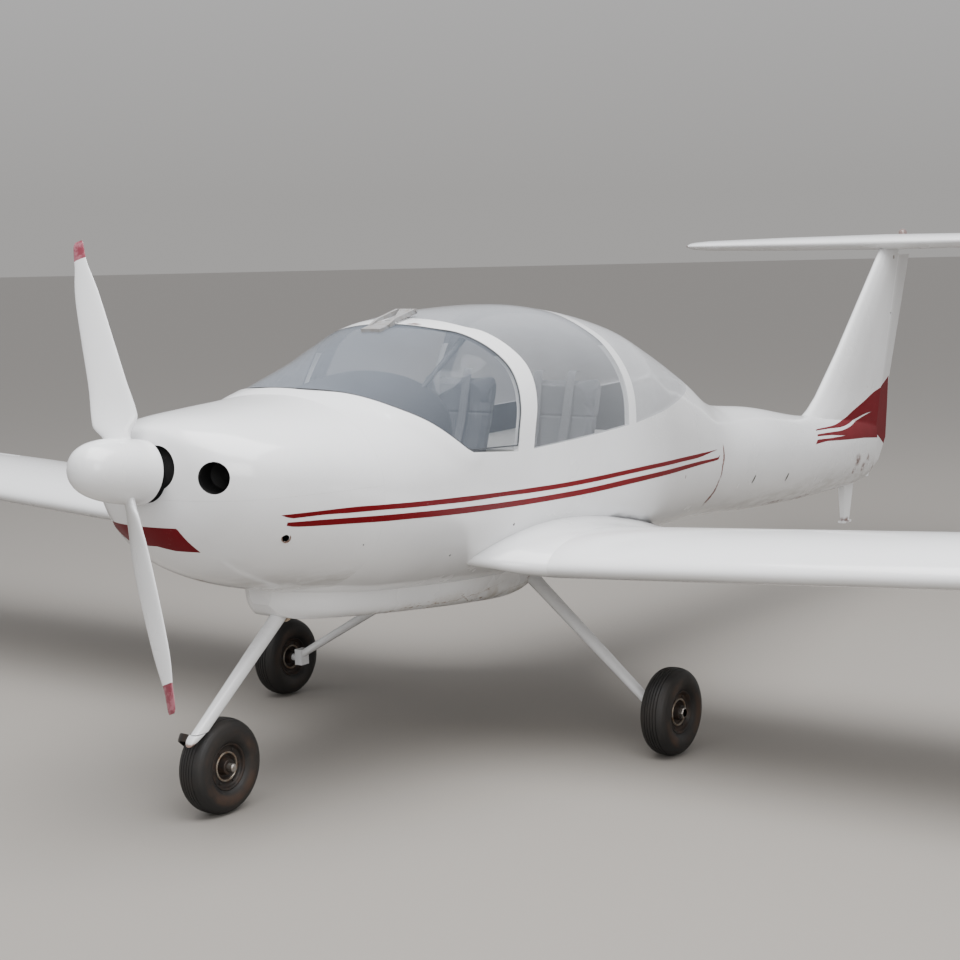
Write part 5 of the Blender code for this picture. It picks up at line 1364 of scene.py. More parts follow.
# %% Belly fairing
# Columns: station, upper half width, lower half width, top and bottom.
FAIRING = [(0.885, 0.060, 0.040, 0.860, 0.738), (0.915, 0.105, 0.068, 0.860, 0.700),
           (0.975, 0.150, 0.100, 0.840, 0.676), (1.110, 0.205, 0.150, 0.800, 0.661),
           (1.500, 0.262, 0.205, 0.760, 0.626), (1.900, 0.285, 0.220, 0.740, 0.592),
           (2.250, 0.268, 0.196, 0.720, 0.570), (2.430, 0.218, 0.138, 0.700, 0.580),
           (2.560, 0.120, 0.070, 0.700, 0.636)]


def fairing_section(station):
    """Section of the fairing from its top round the chine to its floor, and back up the far side."""
    upper, lower, top, bottom = (through(FAIRING, k, station) for k in range(1, 5))
    soft = 0.3 * (top - bottom)
    middle = lower + 0.72 * (upper - lower)
    marks = [(upper * 0.99, top), (upper, bottom + 2.2 * soft), (middle * 1.005, bottom + 0.80 * soft),
             (lower * 1.06, bottom + 0.10 * soft), (lower * 0.86, bottom - 0.0015), (0.0, bottom - 0.002)]
    half = curve_through(marks, 12)
    loop = np.vstack([half, half[-2::-1] * (-1, 1)])
    return np.insert(loop, 1, at(station), axis=1)


stations = np.concatenate([0.885 + 0.115 * np.linspace(0, 1, 14) ** 1.6, np.linspace(1.02, 2.40, 44),
                           2.42 + 0.14 * np.linspace(0, 1, 12)])


def fairing_paint():
    """White paint, turning grey-beige in patches towards the bottom, with brown cracks at the chine."""
    made = gelcoat("fairing_paint")
    height = axis_of(made, own_place(made), 2)
    below = steps_of(made, height, 0.70, 0.58)
    # Grey-beige patches towards the bottom of the fairing.
    lower_grey = times(made, steps_of(made, noise(made, 9.0, 6.0, 0.7), 0.42, 0.66), below)
    base = tint(made, lower_grey, colour_of(made), (0.520, 0.480, 0.430))
    level = calculate(made, "SUBTRACT", noise(made, 14.0, 3.0, 0.5, stretch=(1, 0.25, 2)), 0.5)
    line = steps_of(made, calculate(made, "ABSOLUTE", level), 0.010, 0.002)
    crack = times(made, line, steps_of(made, height, 0.665, 0.635))
    connect(made, Base_Color=tint(made, crack, base, (0.210, 0.120, 0.060)))
    return made


fairing = skin("fairing_skin", np.array([fairing_section(s) for s in stations]), fairing_paint())
done(fairing, "airframe", "white_gelcoat", "belly_fairing")
print("fairing faces:", len(fairing.data.polygons))

# %% Main legs
WHEEL_HEIGHT, MAIN_AXLE, NOSE_AXLE = 0.178, 2.172, 0.634
LEG_POWER = 0.85


def sprung_leg(start, end, root, tip, rise, steps=36):
    """Oval leg between two points: its depth and width go from root to tip, with a swell at the top."""
    u = np.linspace(0, 1, steps)[:, None]
    angle = round_angles(32)[None]
    swell = 1 + rise * np.exp(-(u / 0.06) ** 2)
    deep, wide = (root[k] / 2 + (tip[k] - root[k]) / 2 * u for k in (0, 1))
    a = fuller(np.cos(angle), LEG_POWER) * deep * swell
    b = fuller(np.sin(angle), LEG_POWER) * wide * swell
    along = u * (Vector(end) - Vector(start)).length + 0 * angle
    return moved(np.stack([a, along, b], -1), aim(start, end))


for side, hand in SIDES:
    foot = np.array((side * 0.932, at(MAIN_AXLE), 0.186))
    root = (side * 0.190, at(2.369), 0.664)
    grid = sprung_leg(root, foot + (0, 0, 0.010), (0.070, 0.050), (0.046, 0.034), 0.10)
    leg = skin(f"main_leg_skin_{hand}", grid, paint_leg)
    carve(leg, [block(foot - (0.020, 0.026, 0.036), foot + (0.020, 0.026, 0.036))], "UNION")
    ends = [(side * x, at(MAIN_AXLE), WHEEL_HEIGHT) for x in (0.915, 1.092)]
    carve(leg, [bar("axle", *ends, 0.016)], "UNION")
    done(leg, "airframe", "white_gelcoat", f"main_leg_{hand}")
print("main legs ready")

# %% Nose leg, its foot and the fork
LEG_TOP, LEG_FOOT = (0.018, at(1.050), 0.749), (0.036, at(0.506), 0.341)
PIVOT = (0.018, at(0.480))
LEG_END = Vector(LEG_FOOT) + (Vector(LEG_FOOT) - Vector(LEG_TOP)) * 0.06
grid = sprung_leg(LEG_TOP, LEG_END, (0.056, 0.060), (0.042, 0.046), 0.0, 48)
nose_leg = skin("nose_leg_skin", grid, paint_leg)
carve(nose_leg, [block((-0.1, at(0.30), 0.2), (0.15, at(0.60), 0.336))])
done(nose_leg, "airframe", "white_gelcoat", "nose_leg")
collar = [(0.0, 0.045), (0.0, 0.050), (0.004, 0.053), (0.010, 0.050), (0.014, 0.041), (0.006, 0.036)]
start = Vector(LEG_TOP).lerp(Vector(LEG_FOOT), 0.135)
ring = turned(collar, 48) * (0.80, 1.0, 0.86)
filler = mottled("collar_filler", (0.50, 0.42, 0.32), (0.36, 0.25, 0.17), 0.6, 30.0, 0.0005)
done(ring_skin("nose_leg_collar", moved(ring, aim(start, LEG_FOOT)), filler), "airframe", "white_gelcoat")
print("nose leg ready")

# %% Nose fork
# Columns: height, front and rear station, lowest and highest x. It narrows to a blunt point.
CROWN = [(0.3325, 0.4600, 0.5200, 0.012, 0.056), (0.3305, 0.4560, 0.5195, 0.011, 0.057),
         (0.3220, 0.4470, 0.5040, 0.012, 0.056), (0.3120, 0.4410, 0.4860, 0.013, 0.053),
         (0.3030, 0.4390, 0.4700, 0.016, 0.049), (0.2960, 0.4390, 0.4560, 0.021, 0.044),
         (0.2935, 0.4410, 0.4500, 0.027, 0.038)]


def crown_grid():
    """The fork's crown: rounded level sections, x = middle + half cos|cos|^(p - 1) and y likewise."""
    z, front, rear, low_x, high_x = np.array(CROWN).T[..., None]
    angle = round_angles(36)[None]
    x = (low_x + high_x) / 2 + (high_x - low_x) / 2 * fuller(np.cos(angle), 0.7)
    y = at((front + rear) / 2 + (rear - front) / 2 * fuller(np.sin(angle), 0.7))
    return np.stack([x, y, z + 0 * x], -1)


def fork_paint():
    """Chipped white paint with a rusty lower edge."""
    made = gelcoat("fork_paint")
    height = axis_of(made, own_place(made), 2)
    ragged = calculate(made, "MULTIPLY_ADD", noise(made, 60.0, 4.0, 0.7), 0.020, height)
    rust = times(made, steps_of(made, ragged, 0.321, 0.311), 0.85)
    connect(made, Base_Color=tint(made, rust, colour_of(made), (0.190, 0.080, 0.048)))
    return made


crown = skin("fork_crown", crown_grid(), fork_paint())
carve(crown, [bar("hole", (*PIVOT, 0.280), (*PIVOT, 0.345), 0.0116)])
done(crown, "nose_fork", "white_gelcoat", "nose_fork")
# Columns: x, station, height, half depth of the fork's arm, from the crown down to the axle.
ARM = [(0.026, 0.468, 0.317, 0.012), (-0.006, 0.479, 0.314, 0.014), (-0.046, 0.488, 0.311, 0.015),
       (-0.074, 0.512, 0.298, 0.016), (-0.084, 0.560, 0.262, 0.018), (-0.087, 0.610, 0.208, 0.020),
       (-0.087, 0.634, 0.178, 0.021), (-0.087, 0.648, 0.162, 0.014), (-0.087, 0.652, 0.158, 0.004)]
path = curve_through(ARM, 8)
run = np.gradient(path[:, 1:3], axis=0)
run /= np.linalg.norm(run, axis=1)[:, None]
square = np.column_stack([-run[:, 1], run[:, 0]])
angle = round_angles(20, 0.5)[None]
deep = fuller(np.sin(angle), 0.5) * path[:, 3:4]
thick = fuller(np.cos(angle), 0.6) * 0.006
grid = np.stack([path[:, :1] + thick, at(path[:, 1:2] + square[:, :1] * deep),
                 path[:, 2:3] + square[:, 1:] * deep], -1)
done(skin("fork_arm", grid, dark_steel), "nose_fork", "dark_metal")
ends = [(x, at(NOSE_AXLE), WHEEL_HEIGHT) for x in (-0.092, 0.074)]
done(bar("nose_axle", *ends, 0.0155, steel_worn, rim=0.003), "nose_fork", "dark_metal")
print("nose fork ready")

# %% Tyre and hub profiles
TYRE_RADIUS = 0.178
TREAD_HALF, GROOVES, GROOVE_DEPTH = 0.040, (0.0, 0.0125, 0.025), 0.0042


def tyre_profile():
    """Half of the tyre from the tread's middle over the shoulder and the wall to the bead, mirrored.
    Five grooves run in the tread, one in the middle and two on each side."""
    across = np.linspace(0, TREAD_HALF, 81)
    crown = TYRE_RADIUS - 0.0085 * (across / TREAD_HALF) ** 2.6
    groove = GROOVE_DEPTH * sum(np.exp(-((across - middle) / 0.0017) ** 4) for middle in GROOVES)
    tread = np.column_stack([across, crown - groove])
    wall = curve_through([(0.0405, 0.1692), (0.0500, 0.1620), (0.0582, 0.1470), (0.0618, 0.1300),
                          (0.0600, 0.1130), (0.0540, 0.0990), (0.0475, 0.0915), (0.0445, 0.0885)], 6)
    ridge = 0.0007 * np.exp(-((wall[:, 1] - 0.152) / 0.002) ** 2)
    wall[:, 0] += ridge - 0.0006
    half = np.vstack([tread, wall, [(0.0440, 0.0884), (0.0, 0.0884)]])
    return np.vstack([half[::-1] * (-1, 1), half[1:-1]])


def tyre_rubber():
    """Black rubber, dusty brown in a band of the sidewall, paler dust in patches of the tread."""
    made = mottled("tyre_rubber_walls", (0.0070, 0.0066, 0.0064), (0.0165, 0.0130, 0.0105), 0.58, 9.0, 0.0006)
    where = own_place(made)
    flat = {1: axis_of(made, where, 1), 2: axis_of(made, where, 2)}
    flat = add_node(made, "CombineXYZ", flat).outputs[0]
    rings = []
    for station in (NOSE_AXLE, MAIN_AXLE):
        centre = (0, at(station), WHEEL_HEIGHT)
        away = add_node(made, "VectorMath", {0: flat, 1: centre}, operation="DISTANCE").outputs["Value"]
        rings.append(times(made, steps_of(made, away, 0.098, 0.112), steps_of(made, away, 0.150, 0.132)))
    brown = times(made, most(made, rings), steps_of(made, noise(made, 7.0, 4.0, 0.6), 0.40, 0.70))
    connect(made, Base_Color=tint(made, brown, colour_of(made), (0.045, 0.024, 0.014)))
    return made


# Columns of the profiles: distance out from the wheel's middle, radius.
FLANGE = [(0.0405, 0.0879), (0.0440, 0.0872), (0.0450, 0.0845), (0.0425, 0.0800), (0.0330, 0.0745),
          (0.0300, 0.0660), (0.0310, 0.0555)]
BOSS = [(0.0310, 0.0555), (0.0290, 0.0500), (0.0200, 0.0420), (0.0190, 0.0340), (0.0300, 0.0310),
        (0.0460, 0.0285), (0.0480, 0.0265), (0.0480, 0.0168)]
LIP = np.array([(0.0290, 0.0490), (0.0290, 0.0555), (0.0345, 0.0560), (0.0362, 0.0545), (0.0362, 0.0505),
                (0.0345, 0.0488)])
BOLT_HEAD = turned([(0, 0.0050), (0.0040, 0.0050), (0.0048, 0.0040)], 6)
AXLE_NUT = [(0, 0.0225), (0.0100, 0.0230), (0.0130, 0.0200)]
BOLT_CIRCLE = 0.0665
half = np.vstack([curve_through(FLANGE, 6)[:-1], BOSS])
hub_outline = np.vstack([half, half[::-1] * (-1, 1)])
tyre_outline = tyre_profile()
rubber_walls = tyre_rubber()
print("tyre profile points:", len(tyre_outline), "hub profile points:", len(hub_outline))


# %% Wheels
def bolt_ring(way):
    """Six bolt heads round the flange on one face of a wheel."""
    angle = np.radians(np.arange(6) * 60 + 30)
    spots = zip(BOLT_CIRCLE * np.sin(angle), BOLT_CIRCLE * np.cos(angle))
    return [moved(BOLT_HEAD, aim((x, way * 0.0300, z), (x, way * 0.06, z))) for x, z in spots]


for name, x, station in (("nose", 0.0, NOSE_AXLE), ("left", 1.030, MAIN_AXLE), ("right", -1.030, MAIN_AXLE)):
    body = f"{name}_wheel"
    place = Matrix.Translation((x, at(station), WHEEL_HEIGHT)) @ Matrix.Rotation(-math.pi / 2, 4, "Z")
    tyre = ring_skin(f"{name}_tyre_ring", moved(turned(tyre_outline, 96), place), rubber_walls, 40)
    done(tyre, body, "tyre_rubber", f"{name}_tyre")
    rim = ring_skin(f"{name}_rim", moved(turned(hub_outline, 80), place), rim_metal, 35)
    done(rim, body, "hub_metal", f"{name}_hub")
    for way, face in ((-1, "in"), (1, "out")):
        ring = moved(turned(LIP * (way, 1), 64), place)
        done(ring_skin(f"{name}_lip_{face}", ring, hub_metal, 40), body, "hub_metal")
        heads = [moved(head, place) for head in bolt_ring(way)]
        done(several(f"{name}_bolts_{face}", heads, dark_steel), body, "dark_metal")
    if name != "nose":
        ends = [(x + math.copysign(out, x), at(station), WHEEL_HEIGHT) for out in (0.0490, 0.0625)]
        nut = turned_skin(f"{name}_axle_nut", AXLE_NUT, 6, *ends, steel_worn)
        done(nut, "airframe", "dark_metal")
print("wheels ready")

# %% [markdown]
# ## Cabin
#
# Little of the cabin shows through the panes, but it is furnished: a panel with round dials
# under a hood, two padded seats with belts, a console, sticks and a dark lining.

# %% Dark lining and dark cowl inside
liner_dark = mottled("liner_dark", (0.035, 0.037, 0.041), (0.055, 0.057, 0.062), 0.85, 30.0, 0.0006)
liner_arch = mottled("liner_arch", (0.30, 0.305, 0.315), (0.25, 0.255, 0.265), 0.85, 30.0, 0.0006)


def read_all(items, field, size=3):
    """One field of a mesh's points or faces as an array."""
    values = np.empty(len(items) * size)
    items.foreach_get(field, values)
    return values.reshape(-1, size)


def line_inside(thing, finish, first, last, low=0.0, high=9.0):
    """Give a second finish to the faces that look towards the body's middle line, between two
    stations and two heights."""
    mesh = thing.data
    mesh.materials.append(finish)
    centre, normal = read_all(mesh.polygons, "center"), read_all(mesh.polygons, "normal")
    index = read_all(mesh.polygons, "material_index", 1)[:, 0].astype(int)
    out = centre * (1, 0, 1) - (0, 0, 1.15)
    out /= np.linalg.norm(out, axis=1)[:, None]
    station, z = centre[:, 1] + MIDDLE, centre[:, 2]
    near = np.abs(centre[:, 0]) < body_side(station, np.clip(z, 0.80, 1.25)) + 0.02
    within = (station > first) & (station < last) & (z > low) & (z < high)
    inside = (np.sum(out * normal, 1) < -0.30) & near & within
    mesh.polygons.foreach_set("material_index", np.where(inside, len(mesh.materials) - 1, index))
    mesh.update()
    return int(inside.sum())


print("lined faces:", line_inside(fuselage, liner_dark, 0.985, 4.075, 0.66, 1.30),
      line_inside(fuselage, liner_arch, 0.985, 2.90, 1.30, 1.90),
      line_inside(fuselage, liner_dark, 2.90, 4.075, 1.30, 1.90))
for name in ("cowling_upper_shell", "cowling_lower_shell"):
    line_inside(bpy.data.objects[name], engine_black, 0.330, 0.979)

# %% CAD parts that keep their shape
hinge_grey = mottled("hinge_grey", (0.300, 0.300, 0.305), (0.240, 0.225, 0.210), 0.45, 40.0, 0.0003, 0.2)
KEPT = (("engine_block", engine_black), ("rear_bulkhead", liner_pale), ("tail_skid", paint_skid),
        ("cabin_floor centre_console roof_strut control_stick_left control_stick_right", trim_dark),
        ("canopy_hinge canopy_hinge_leaf", hinge_grey), ("airbrake_left airbrake_right", paint_wing))
for names, finish in KEPT:
    for name in names.split():
        materials = bpy.data.objects[name].data.materials
        materials.clear()
        materials.append(finish)
    print("kept:", names)

# %% Hood over the panel
# Columns: station, half width, height of the top.
HOOD = [(1.060, 0.400, 1.436), (1.250, 0.420, 1.496), (1.420, 0.420, 1.550), (1.560, 0.410, 1.572),
        (1.600, 0.390, 1.566)]
HOOD_BASE = 1.330


def hood_arch(station, depth, steps=60):
    """Arch of the hood at a station: a half oval whose sides stay clear of the cabin wall."""
    half, top = straight(HOOD, 1, station), through(HOOD, 2, station)
    angle = np.pi * np.linspace(0, 1, steps)
    z = HOOD_BASE - depth + (top - HOOD_BASE) * np.sin(angle) ** 0.8
    wall = body_side(station, np.maximum(z, 1.10)) - 0.034 - depth
    reach = np.minimum(half * (1 - 0.04 * (depth > 0)), wall)
    return np.column_stack([reach * np.cos(angle), np.full(steps, at(station)), z])


hood_stations = np.append(np.linspace(1.062, 1.585, 26), [1.594, 1.599])
depth = np.append(np.zeros(26), [0.001, 0.004])
rows = [np.vstack([hood_arch(s, d), hood_arch(s, 0.012)[::-1]]) for s, d in zip(hood_stations, depth)]
grid = np.array(rows)
hood_cloth = mottled("hood_cloth", (0.012, 0.013, 0.016), (0.022, 0.023, 0.027), 0.75, 26.0, 0.0010)
done(skin("panel_hood", grid, hood_cloth), "airframe", "grey_trim", "instrument_panel")
print("hood grid:", grid.shape[:2])

# %% Panel board
# Columns: height, station of the board's front face, station of its rear face.
BOARD = [(0.960, 1.400, 1.425), (1.285, 1.433, 1.458), (1.400, 1.447, 1.472), (1.480, 1.459, 1.484)]
BOARD_THICK, BEVEL = 0.025, 0.004
heights = np.linspace(0.962, 1.478, 44)
front_line = straight(BOARD, 1, heights)
arch_half = 0.405 * np.sqrt(np.clip(1 - ((heights - HOOD_BASE) / 0.158) ** 2, 0.02, 1))
half = np.minimum(body_side(front_line, heights) - 0.033, np.where(heights > HOOD_BASE, arch_half, 0.46))
hand = np.array([-1, -1, 1, 1, 1, 1, -1, -1])
narrower = BEVEL * np.array([0, 1, 1, 0, 0, 1, 1, 0])
deeper = np.array([BEVEL, 0, 0, BEVEL, BOARD_THICK - BEVEL, BOARD_THICK, BOARD_THICK, BOARD_THICK - BEVEL])
x = hand * (half[:, None] - narrower)
board = np.stack([x, at(front_line)[:, None] + deeper + 0 * x, heights[:, None] + 0 * x], -1)
done(skin("panel_board", board, trim_grey), "airframe", "grey_trim")
print("panel board grid:", board.shape[:2])


# %% Dials, radios and knobs
def panel_point(x, height, out=0.0):
    """A point on the panel's rear face, out metres off it."""
    return Vector((x, at(float(straight(BOARD, 2, height))) + out, height))


def on_panel(profile, steps, x, z, sink=0.0):
    """A turned profile standing on the panel, with its foot sunk in a little."""
    return moved(turned(profile, steps), aim(panel_point(x, z, -sink), panel_point(x, z, 0.2)))


NEEDLE = np.array([[(-w, low, way), (w, low, way), (w, high, way), (-w, high, way)]
                   for w, low, high, way in ((0.0012, 0.0052, 0.0058, 0), (0.0005, 0.0052, 0.0058, 1))])
DIAL_SINK = 0.001
# Rows: first x, step in x, radius and the heights of a block of three by two dials.
DIAL_BLOCKS = ((0.155, 0.088, 0.037, (1.395, 1.300)), (-0.190, -0.070, 0.028, (1.385, 1.310)))
bezels, faces, needles = [], [], []
for first, step, radius, levels in DIAL_BLOCKS:
    for x, z in ((first + step * k, level) for k in range(3) for level in levels):
        ring = [(0, radius), (0.006, radius), (0.008, radius - 0.002), (0.008, radius - 0.005),
                (0.004, radius - 0.0065), (0.004, 0.0005)]
        disc = [(0.0, radius - 0.007), (0.0048, radius - 0.007)]
        bezels.append(on_panel(ring, 36, x, z, DIAL_SINK))
        faces.append(on_panel(disc, 30, x, z, DIAL_SINK))
        turn = Matrix.Rotation((x * 37 + z * 11) % 6.28, 4, "Y")
        place = aim(panel_point(x, z, -DIAL_SINK), panel_point(x, z, 0.2))
        needles.append(moved(NEEDLE * (1, 1, radius * 0.62), place @ turn))
done(several("dial_bezels", bezels, trim_dark), "airframe", "grey_trim")
done(several("dial_faces", faces, engine_black), "airframe", "grey_trim")
done(several("dial_needles", needles, liner_pale), "airframe", "grey_trim")
RADIO_LEVELS = (1.215, 1.268, 1.330, 1.388)
RADIO_HALF, RADIO_TALL = 0.075, 0.022
boxes = []
for z in RADIO_LEVELS:
    low, high = panel_point(0, z - RADIO_TALL, -0.004), panel_point(0, z + RADIO_TALL, 0.010)
    boxes.append(np.array([[(-w, y, low.z), (w, y, low.z), (w, y, high.z), (-w, y, high.z)]
                           for w, y in ((RADIO_HALF, low.y), (RADIO_HALF - 0.003, high.y))]))
done(several("radio_boxes", boxes, trim_dark), "airframe", "grey_trim")
SMALL_KNOB = [(0, 0.008), (0.012, 0.0075), (0.014, 0.005)]
PULL_KNOB = [(0, 0.005), (0.030, 0.005), (0.032, 0.013), (0.044, 0.013), (0.046, 0.010)]
knobs = [on_panel(SMALL_KNOB, 16, x, z) for x in (-0.060, 0.060) for z in RADIO_LEVELS]
knobs += [on_panel(PULL_KNOB, 16, x, 1.190) for x in (-0.100, 0.100)]
done(several("panel_knobs", knobs, engine_black), "airframe", "grey_trim")
print("panel ready")

# %% [markdown]
# ## Padded seats
#
# Each pad starts as a rounded block a little smaller than its room. Blender's cloth is blown up
# from inside for twenty steps, then every point's travel is capped, so the pad keeps its room
# and its sides pull in between the corners. Sewn channels are pressed in afterwards.

# %% Seat cloth
seat_cloth = finish_of("seat_cloth", (0.060, 0.064, 0.072), 0.9, Sheen_Weight=0.12)
where = own_place(seat_cloth)
weave = [add_node(seat_cloth, "TexWave", {"Vector": where, "Scale": 300.0, "Distortion": 0.6, "Detail": 1.0},
                  bands_direction=axis).outputs["Fac"] for axis in ("X", "Z")]
worn = steps_of(seat_cloth, noise(seat_cloth, 8.0, 4.0, 0.6), 0.4, 0.75)
connect(seat_cloth, Base_Color=tint(seat_cloth, worn, (0.050, 0.054, 0.062), (0.085, 0.089, 0.098)))
bump(seat_cloth, times(seat_cloth, *weave), 0.0005, 0.5)
print("seat cloth ready")

# %% Shaping a pad
SEAT_MIDDLE, PAD_HALF, PAD_START_INSET, SEAT_PAN = 0.275, 0.218, 0.008, 0.8162
VOXEL, FRAMES, PRESSURE = 0.0066, 20, 4.0
CHANNEL_DEEP, CHANNEL_WIDE, SEAM_DEEP, SEAM_WIDE = 0.0050, 0.0045, 0.0035, 0.0035
# Rows: name, side outline of (station, height), cap on the travel, channels of two points each, and
# the front and rear station of the pad's room.
PADS = (
    ("seat_cushion", [(1.850, 0.822), (2.285, 0.822), (2.322, 0.900), (2.180, 0.915), (1.990, 0.955),
                      (1.862, 0.974), (1.843, 0.955)],
     0.024, [(1.955, 0.985, 1.955, 0.80), (2.150, 0.950, 2.150, 0.80)], (1.832, 2.334)),
    ("seat_back", [(2.350, 0.825), (2.435, 0.825), (2.512, 1.080), (2.573, 1.300), (2.582, 1.470),
                   (2.535, 1.488), (2.508, 1.320), (2.440, 1.120), (2.346, 0.925)],
     0.022, [(2.30, 1.00, 2.60, 0.97), (2.30, 1.16, 2.62, 1.12), (2.40, 1.33, 2.64, 1.31)], (2.337, 2.70)))


def pad_start(outline):
    """Rounded block across a seat: the side outline shrinks by a quarter circle towards both ends."""
    outline = curve_through(outline + outline[:1], 6)[:-1]
    rows = []
    for t in np.linspace(-1, 1, 33):
        past = max(0.0, (abs(t) - 0.86) / 0.14)
        ring = inward(outline, PAD_START_INSET + 0.030 * (1 - math.sqrt(max(0.0, 1 - past ** 2))))
        x = SEAT_MIDDLE + t * (PAD_HALF - PAD_START_INSET)
        rows.append(np.column_stack([np.full(len(ring), x), at(ring[:, 0]), ring[:, 1]]))
    return np.array(rows)


def puffed(thing, cap):
    """Remesh, blow up with cloth, cap each point's travel, apply, subdivide once."""
    remesh = thing.modifiers.new("remesh", "REMESH")
    remesh.mode = "VOXEL"
    remesh.voxel_size = VOXEL
    settle(thing)
    before = read_all(thing.data.vertices, "co")
    cloth = thing.modifiers.new("cloth", "CLOTH")
    cloth.settings.use_pressure = True
    cloth.settings.uniform_pressure_force = PRESSURE
    cloth.settings.effector_weights.gravity = 0.0
    cloth.settings.quality = 4
    cloth.point_cache.frame_start, cloth.point_cache.frame_end = 1, FRAMES
    for number in range(1, FRAMES + 1):
        SCENE.frame_set(number)
    settle(thing)
    SCENE.frame_set(1)
    travel = read_all(thing.data.vertices, "co") - before
    length = np.linalg.norm(travel, axis=1)[:, None]
    short = before + travel * np.minimum(1, cap / np.maximum(length, 1e-9))
    thing.data.vertices.foreach_set("co", short.ravel())
    print(thing.name, "points:", len(before), "largest travel:", round(float(length.max()), 4))
    finer = thing.modifiers.new("finer", "SUBSURF")
    finer.levels = finer.render_levels = 1
    return settle(thing, 60)


def keep_room(thing, room):
    """Hold every point of the left pad inside its room: the cabin's wall, the console, the seat pan
    and the stations of its front and rear."""
    place = read_all(thing.data.vertices, "co")
    wall = body_side(place[:, 1] + MIDDLE, np.maximum(place[:, 2], 0.83)) - 0.034
    place[:, 0] = np.clip(place[:, 0], 0.050, np.minimum(wall, SEAT_MIDDLE + 0.225))
    place[:, 1] = np.clip(place[:, 1], *(at(station) for station in room))
    place[:, 2] = np.maximum(place[:, 2], SEAT_PAN)
    thing.data.vertices.foreach_set("co", place.ravel())


def press_channels(thing, lines):
    """Sewn channels: points near a line in side view, or near one of two lengthwise lines, sink
    along their normals, and the edge between top and side keeps a fine seam. Each is a bell
    curve, depth times exp(-(distance / width)^2)."""
    mesh = thing.data
    place, normal = read_all(mesh.vertices, "co"), read_all(mesh.vertices, "normal")
    sink = np.zeros(len(place))
    for s1, z1, s2, z2 in lines:
        run = np.array([s2 - s1, z2 - z1])
        run /= np.linalg.norm(run)
        away = (place[:, 1] + MIDDLE - s1) * run[1] - (place[:, 2] - z1) * run[0]
        sink = np.maximum(sink, CHANNEL_DEEP * np.exp(-(away / CHANNEL_WIDE) ** 2))
    off = np.abs(place[:, 0] - SEAT_MIDDLE)
    for share, deep, wide in ((0.42, CHANNEL_DEEP, CHANNEL_WIDE), (0.90, SEAM_DEEP, SEAM_WIDE)):
        sink = np.maximum(sink, deep * np.exp(-((off - share * PAD_HALF) / wide) ** 2))
    mesh.vertices.foreach_set("co", (place - normal * sink[:, None]).ravel())
    mesh.update()


# %% Pads
for kind, outline, cap, lines, room in PADS:
    pad = skin(f"{kind}_pad_left", pad_start(outline), seat_cloth)
    puffed(pad, cap)
    keep_room(pad, room)
    press_channels(pad, lines)
    other = bpy.data.objects.new(f"{kind}_pad_right", pad.data.copy())
    SCENE.collection.objects.link(other)
    mirrored = read_all(pad.data.vertices, "co") * (-1, 1, 1)
    other.data.vertices.foreach_set("co", mirrored.ravel())
    other.data.flip_normals()
    for thing, hand in ((pad, "left"), (other, "right")):
        done(thing, "airframe", "seat_fabric", f"{kind}_{hand}")
print("pads ready")

# %% Belts and buckles
WEB_THICK = 0.0016
BUCKLE = [(0.0, 0.022), (0.004, 0.026), (0.014, 0.026), (0.018, 0.021), (0.019, 0.008)]
# Rows: how far out from the seat's middle, station, height. The last row of each is at the buckle.
SHOULDER_BELT = [(0.085, 2.548, 1.512), (0.085, 2.515, 1.505), (0.081, 2.488, 1.400), (0.075, 2.450, 1.240),
                 (0.060, 2.375, 1.080), (0.035, 2.300, 0.990), (0.022, 2.255, 0.962)]
LAP_BELT = [(0.205, 2.318, 0.935), (0.170, 2.295, 0.958), (0.095, 2.262, 0.958), (0.022, 2.250, 0.958)]
belt_web = mottled("belt_webbing", (0.085, 0.088, 0.096), (0.115, 0.118, 0.126), 0.85, 60.0, 0.0006)


def strap(name, path, width, lean):
    """Flat webbing along a path, laid across it in the direction of lean."""
    across = np.array(lean, float) / np.linalg.norm(lean)
    v = np.linspace(-0.5, 0.5, 9)[None, :, None]
    grid = curve_through(path, 10)[:, None] + across * v * width
    return done(sheet(name, grid, belt_web, WEB_THICK), "airframe", "seat_fabric")


for side, hand in SIDES:
    centre = side * SEAT_MIDDLE
    for way in (-1, 1):
        end = "out" if way * side > 0 else "in"
        for name, rows, width, lean in (("belt", SHOULDER_BELT, 0.042, (1, 0, 0)),
                                        ("lap_belt", LAP_BELT, 0.040, (0, 1, 0.25))):
            strap(f"{name}_{hand}_{end}", [(centre + way * out, at(s), z) for out, s, z in rows], width, lean)
    buckle = turned_skin(f"buckle_{hand}", BUCKLE, 32, (centre, at(2.250), 0.956), (centre, at(2.235), 1.05),
                         steel_worn)
    done(buckle, "airframe", "dark_metal")
print("belts ready")

# %% Pale air outlets on the panel
OUTLET = [(0.0, 0.018), (0.010, 0.018), (0.016, 0.014), (0.016, 0.010), (0.008, 0.004)]
for side, hand in SIDES:
    ends = [(side * 0.350, at(station), 1.372) for station in (1.474, 1.574)]
    done(turned_skin(f"air_outlet_{hand}", OUTLET, 32, *ends, liner_pale), "airframe", "grey_trim")
print("cabin ready")

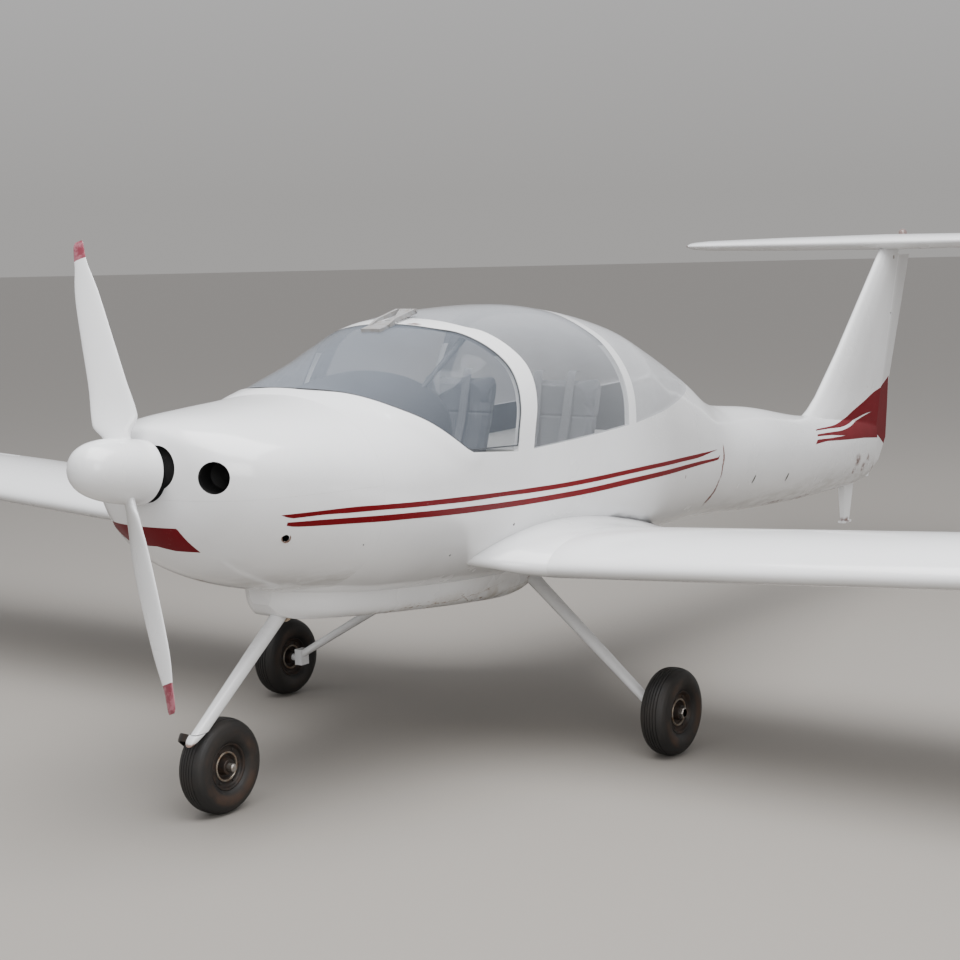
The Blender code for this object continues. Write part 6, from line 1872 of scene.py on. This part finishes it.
# %% [markdown]
# ## Studio
#
# A plain pale floor and a wide soft sky. A large soft lamp overhead gives the gloss on the upper
# surfaces, and the world's light is brighter above than at the sides, as out of doors on a dull day.

# %% Floor, sky and lamps
floor_finish = finish_of("studio_floor", (0.250, 0.232, 0.210), 0.85)
FLOOR_HALF, FLOOR_DROP = 400.0, 0.0005
corners = np.array([(-1, -1, 0), (1, -1, 0), (1, 1, 0), (-1, 1, 0)]) * FLOOR_HALF - (0, 0, FLOOR_DROP)
floor = mesh_object("studio_floor", corners, [(0, 1, 2, 3)], floor_finish)
world = bpy.data.worlds.new("soft_sky")
SCENE.world = world
world.use_nodes = True
tree = world.node_tree
coordinates, parts, scale, shade = (tree.nodes.new("ShaderNode" + kind)
                                    for kind in ("TexCoord", "SeparateXYZ", "MapRange", "ValToRGB"))
tree.links.new(coordinates.outputs["Generated"], parts.inputs[0])
tree.links.new(parts.outputs["Z"], scale.inputs["Value"])
scale.inputs["From Min"].default_value = -0.1
scale.inputs["From Max"].default_value = 1.0
tree.links.new(scale.outputs["Result"], shade.inputs["Fac"])
SKY_STOPS = ((0.12, (0.42, 0.41, 0.40, 1)), (0.85, (1.12, 1.14, 1.19, 1)))
for stop, (place, colour) in zip(shade.color_ramp.elements, SKY_STOPS):
    stop.position = place
    stop.color = colour
background = tree.nodes["Background"]
tree.links.new(shade.outputs["Color"], background.inputs["Color"])
background.inputs["Strength"].default_value = 1.0


def lamp(name, place, target, size, power):
    """A square area lamp aimed at a point."""
    data = bpy.data.lights.new(name, "AREA")
    data.size = size
    data.energy = power
    thing = bpy.data.objects.new(name, data)
    thing.location = place
    thing.rotation_euler = (Vector(target) - Vector(place)).to_track_quat("-Z", "Y").to_euler()
    SCENE.collection.objects.link(thing)


lamp("overhead", (2.0, -3.0, 9.0), (0.5, 0.0, 1.0), 9.0, 1800)
lamp("front_left", (9.0, -9.0, 4.5), (0.5, -1.5, 1.2), 5.0, 420)
print("studio ready")

# %% Remove the cutting shapes
for thing in WORK:
    bpy.data.objects.remove(thing, do_unlink=True)
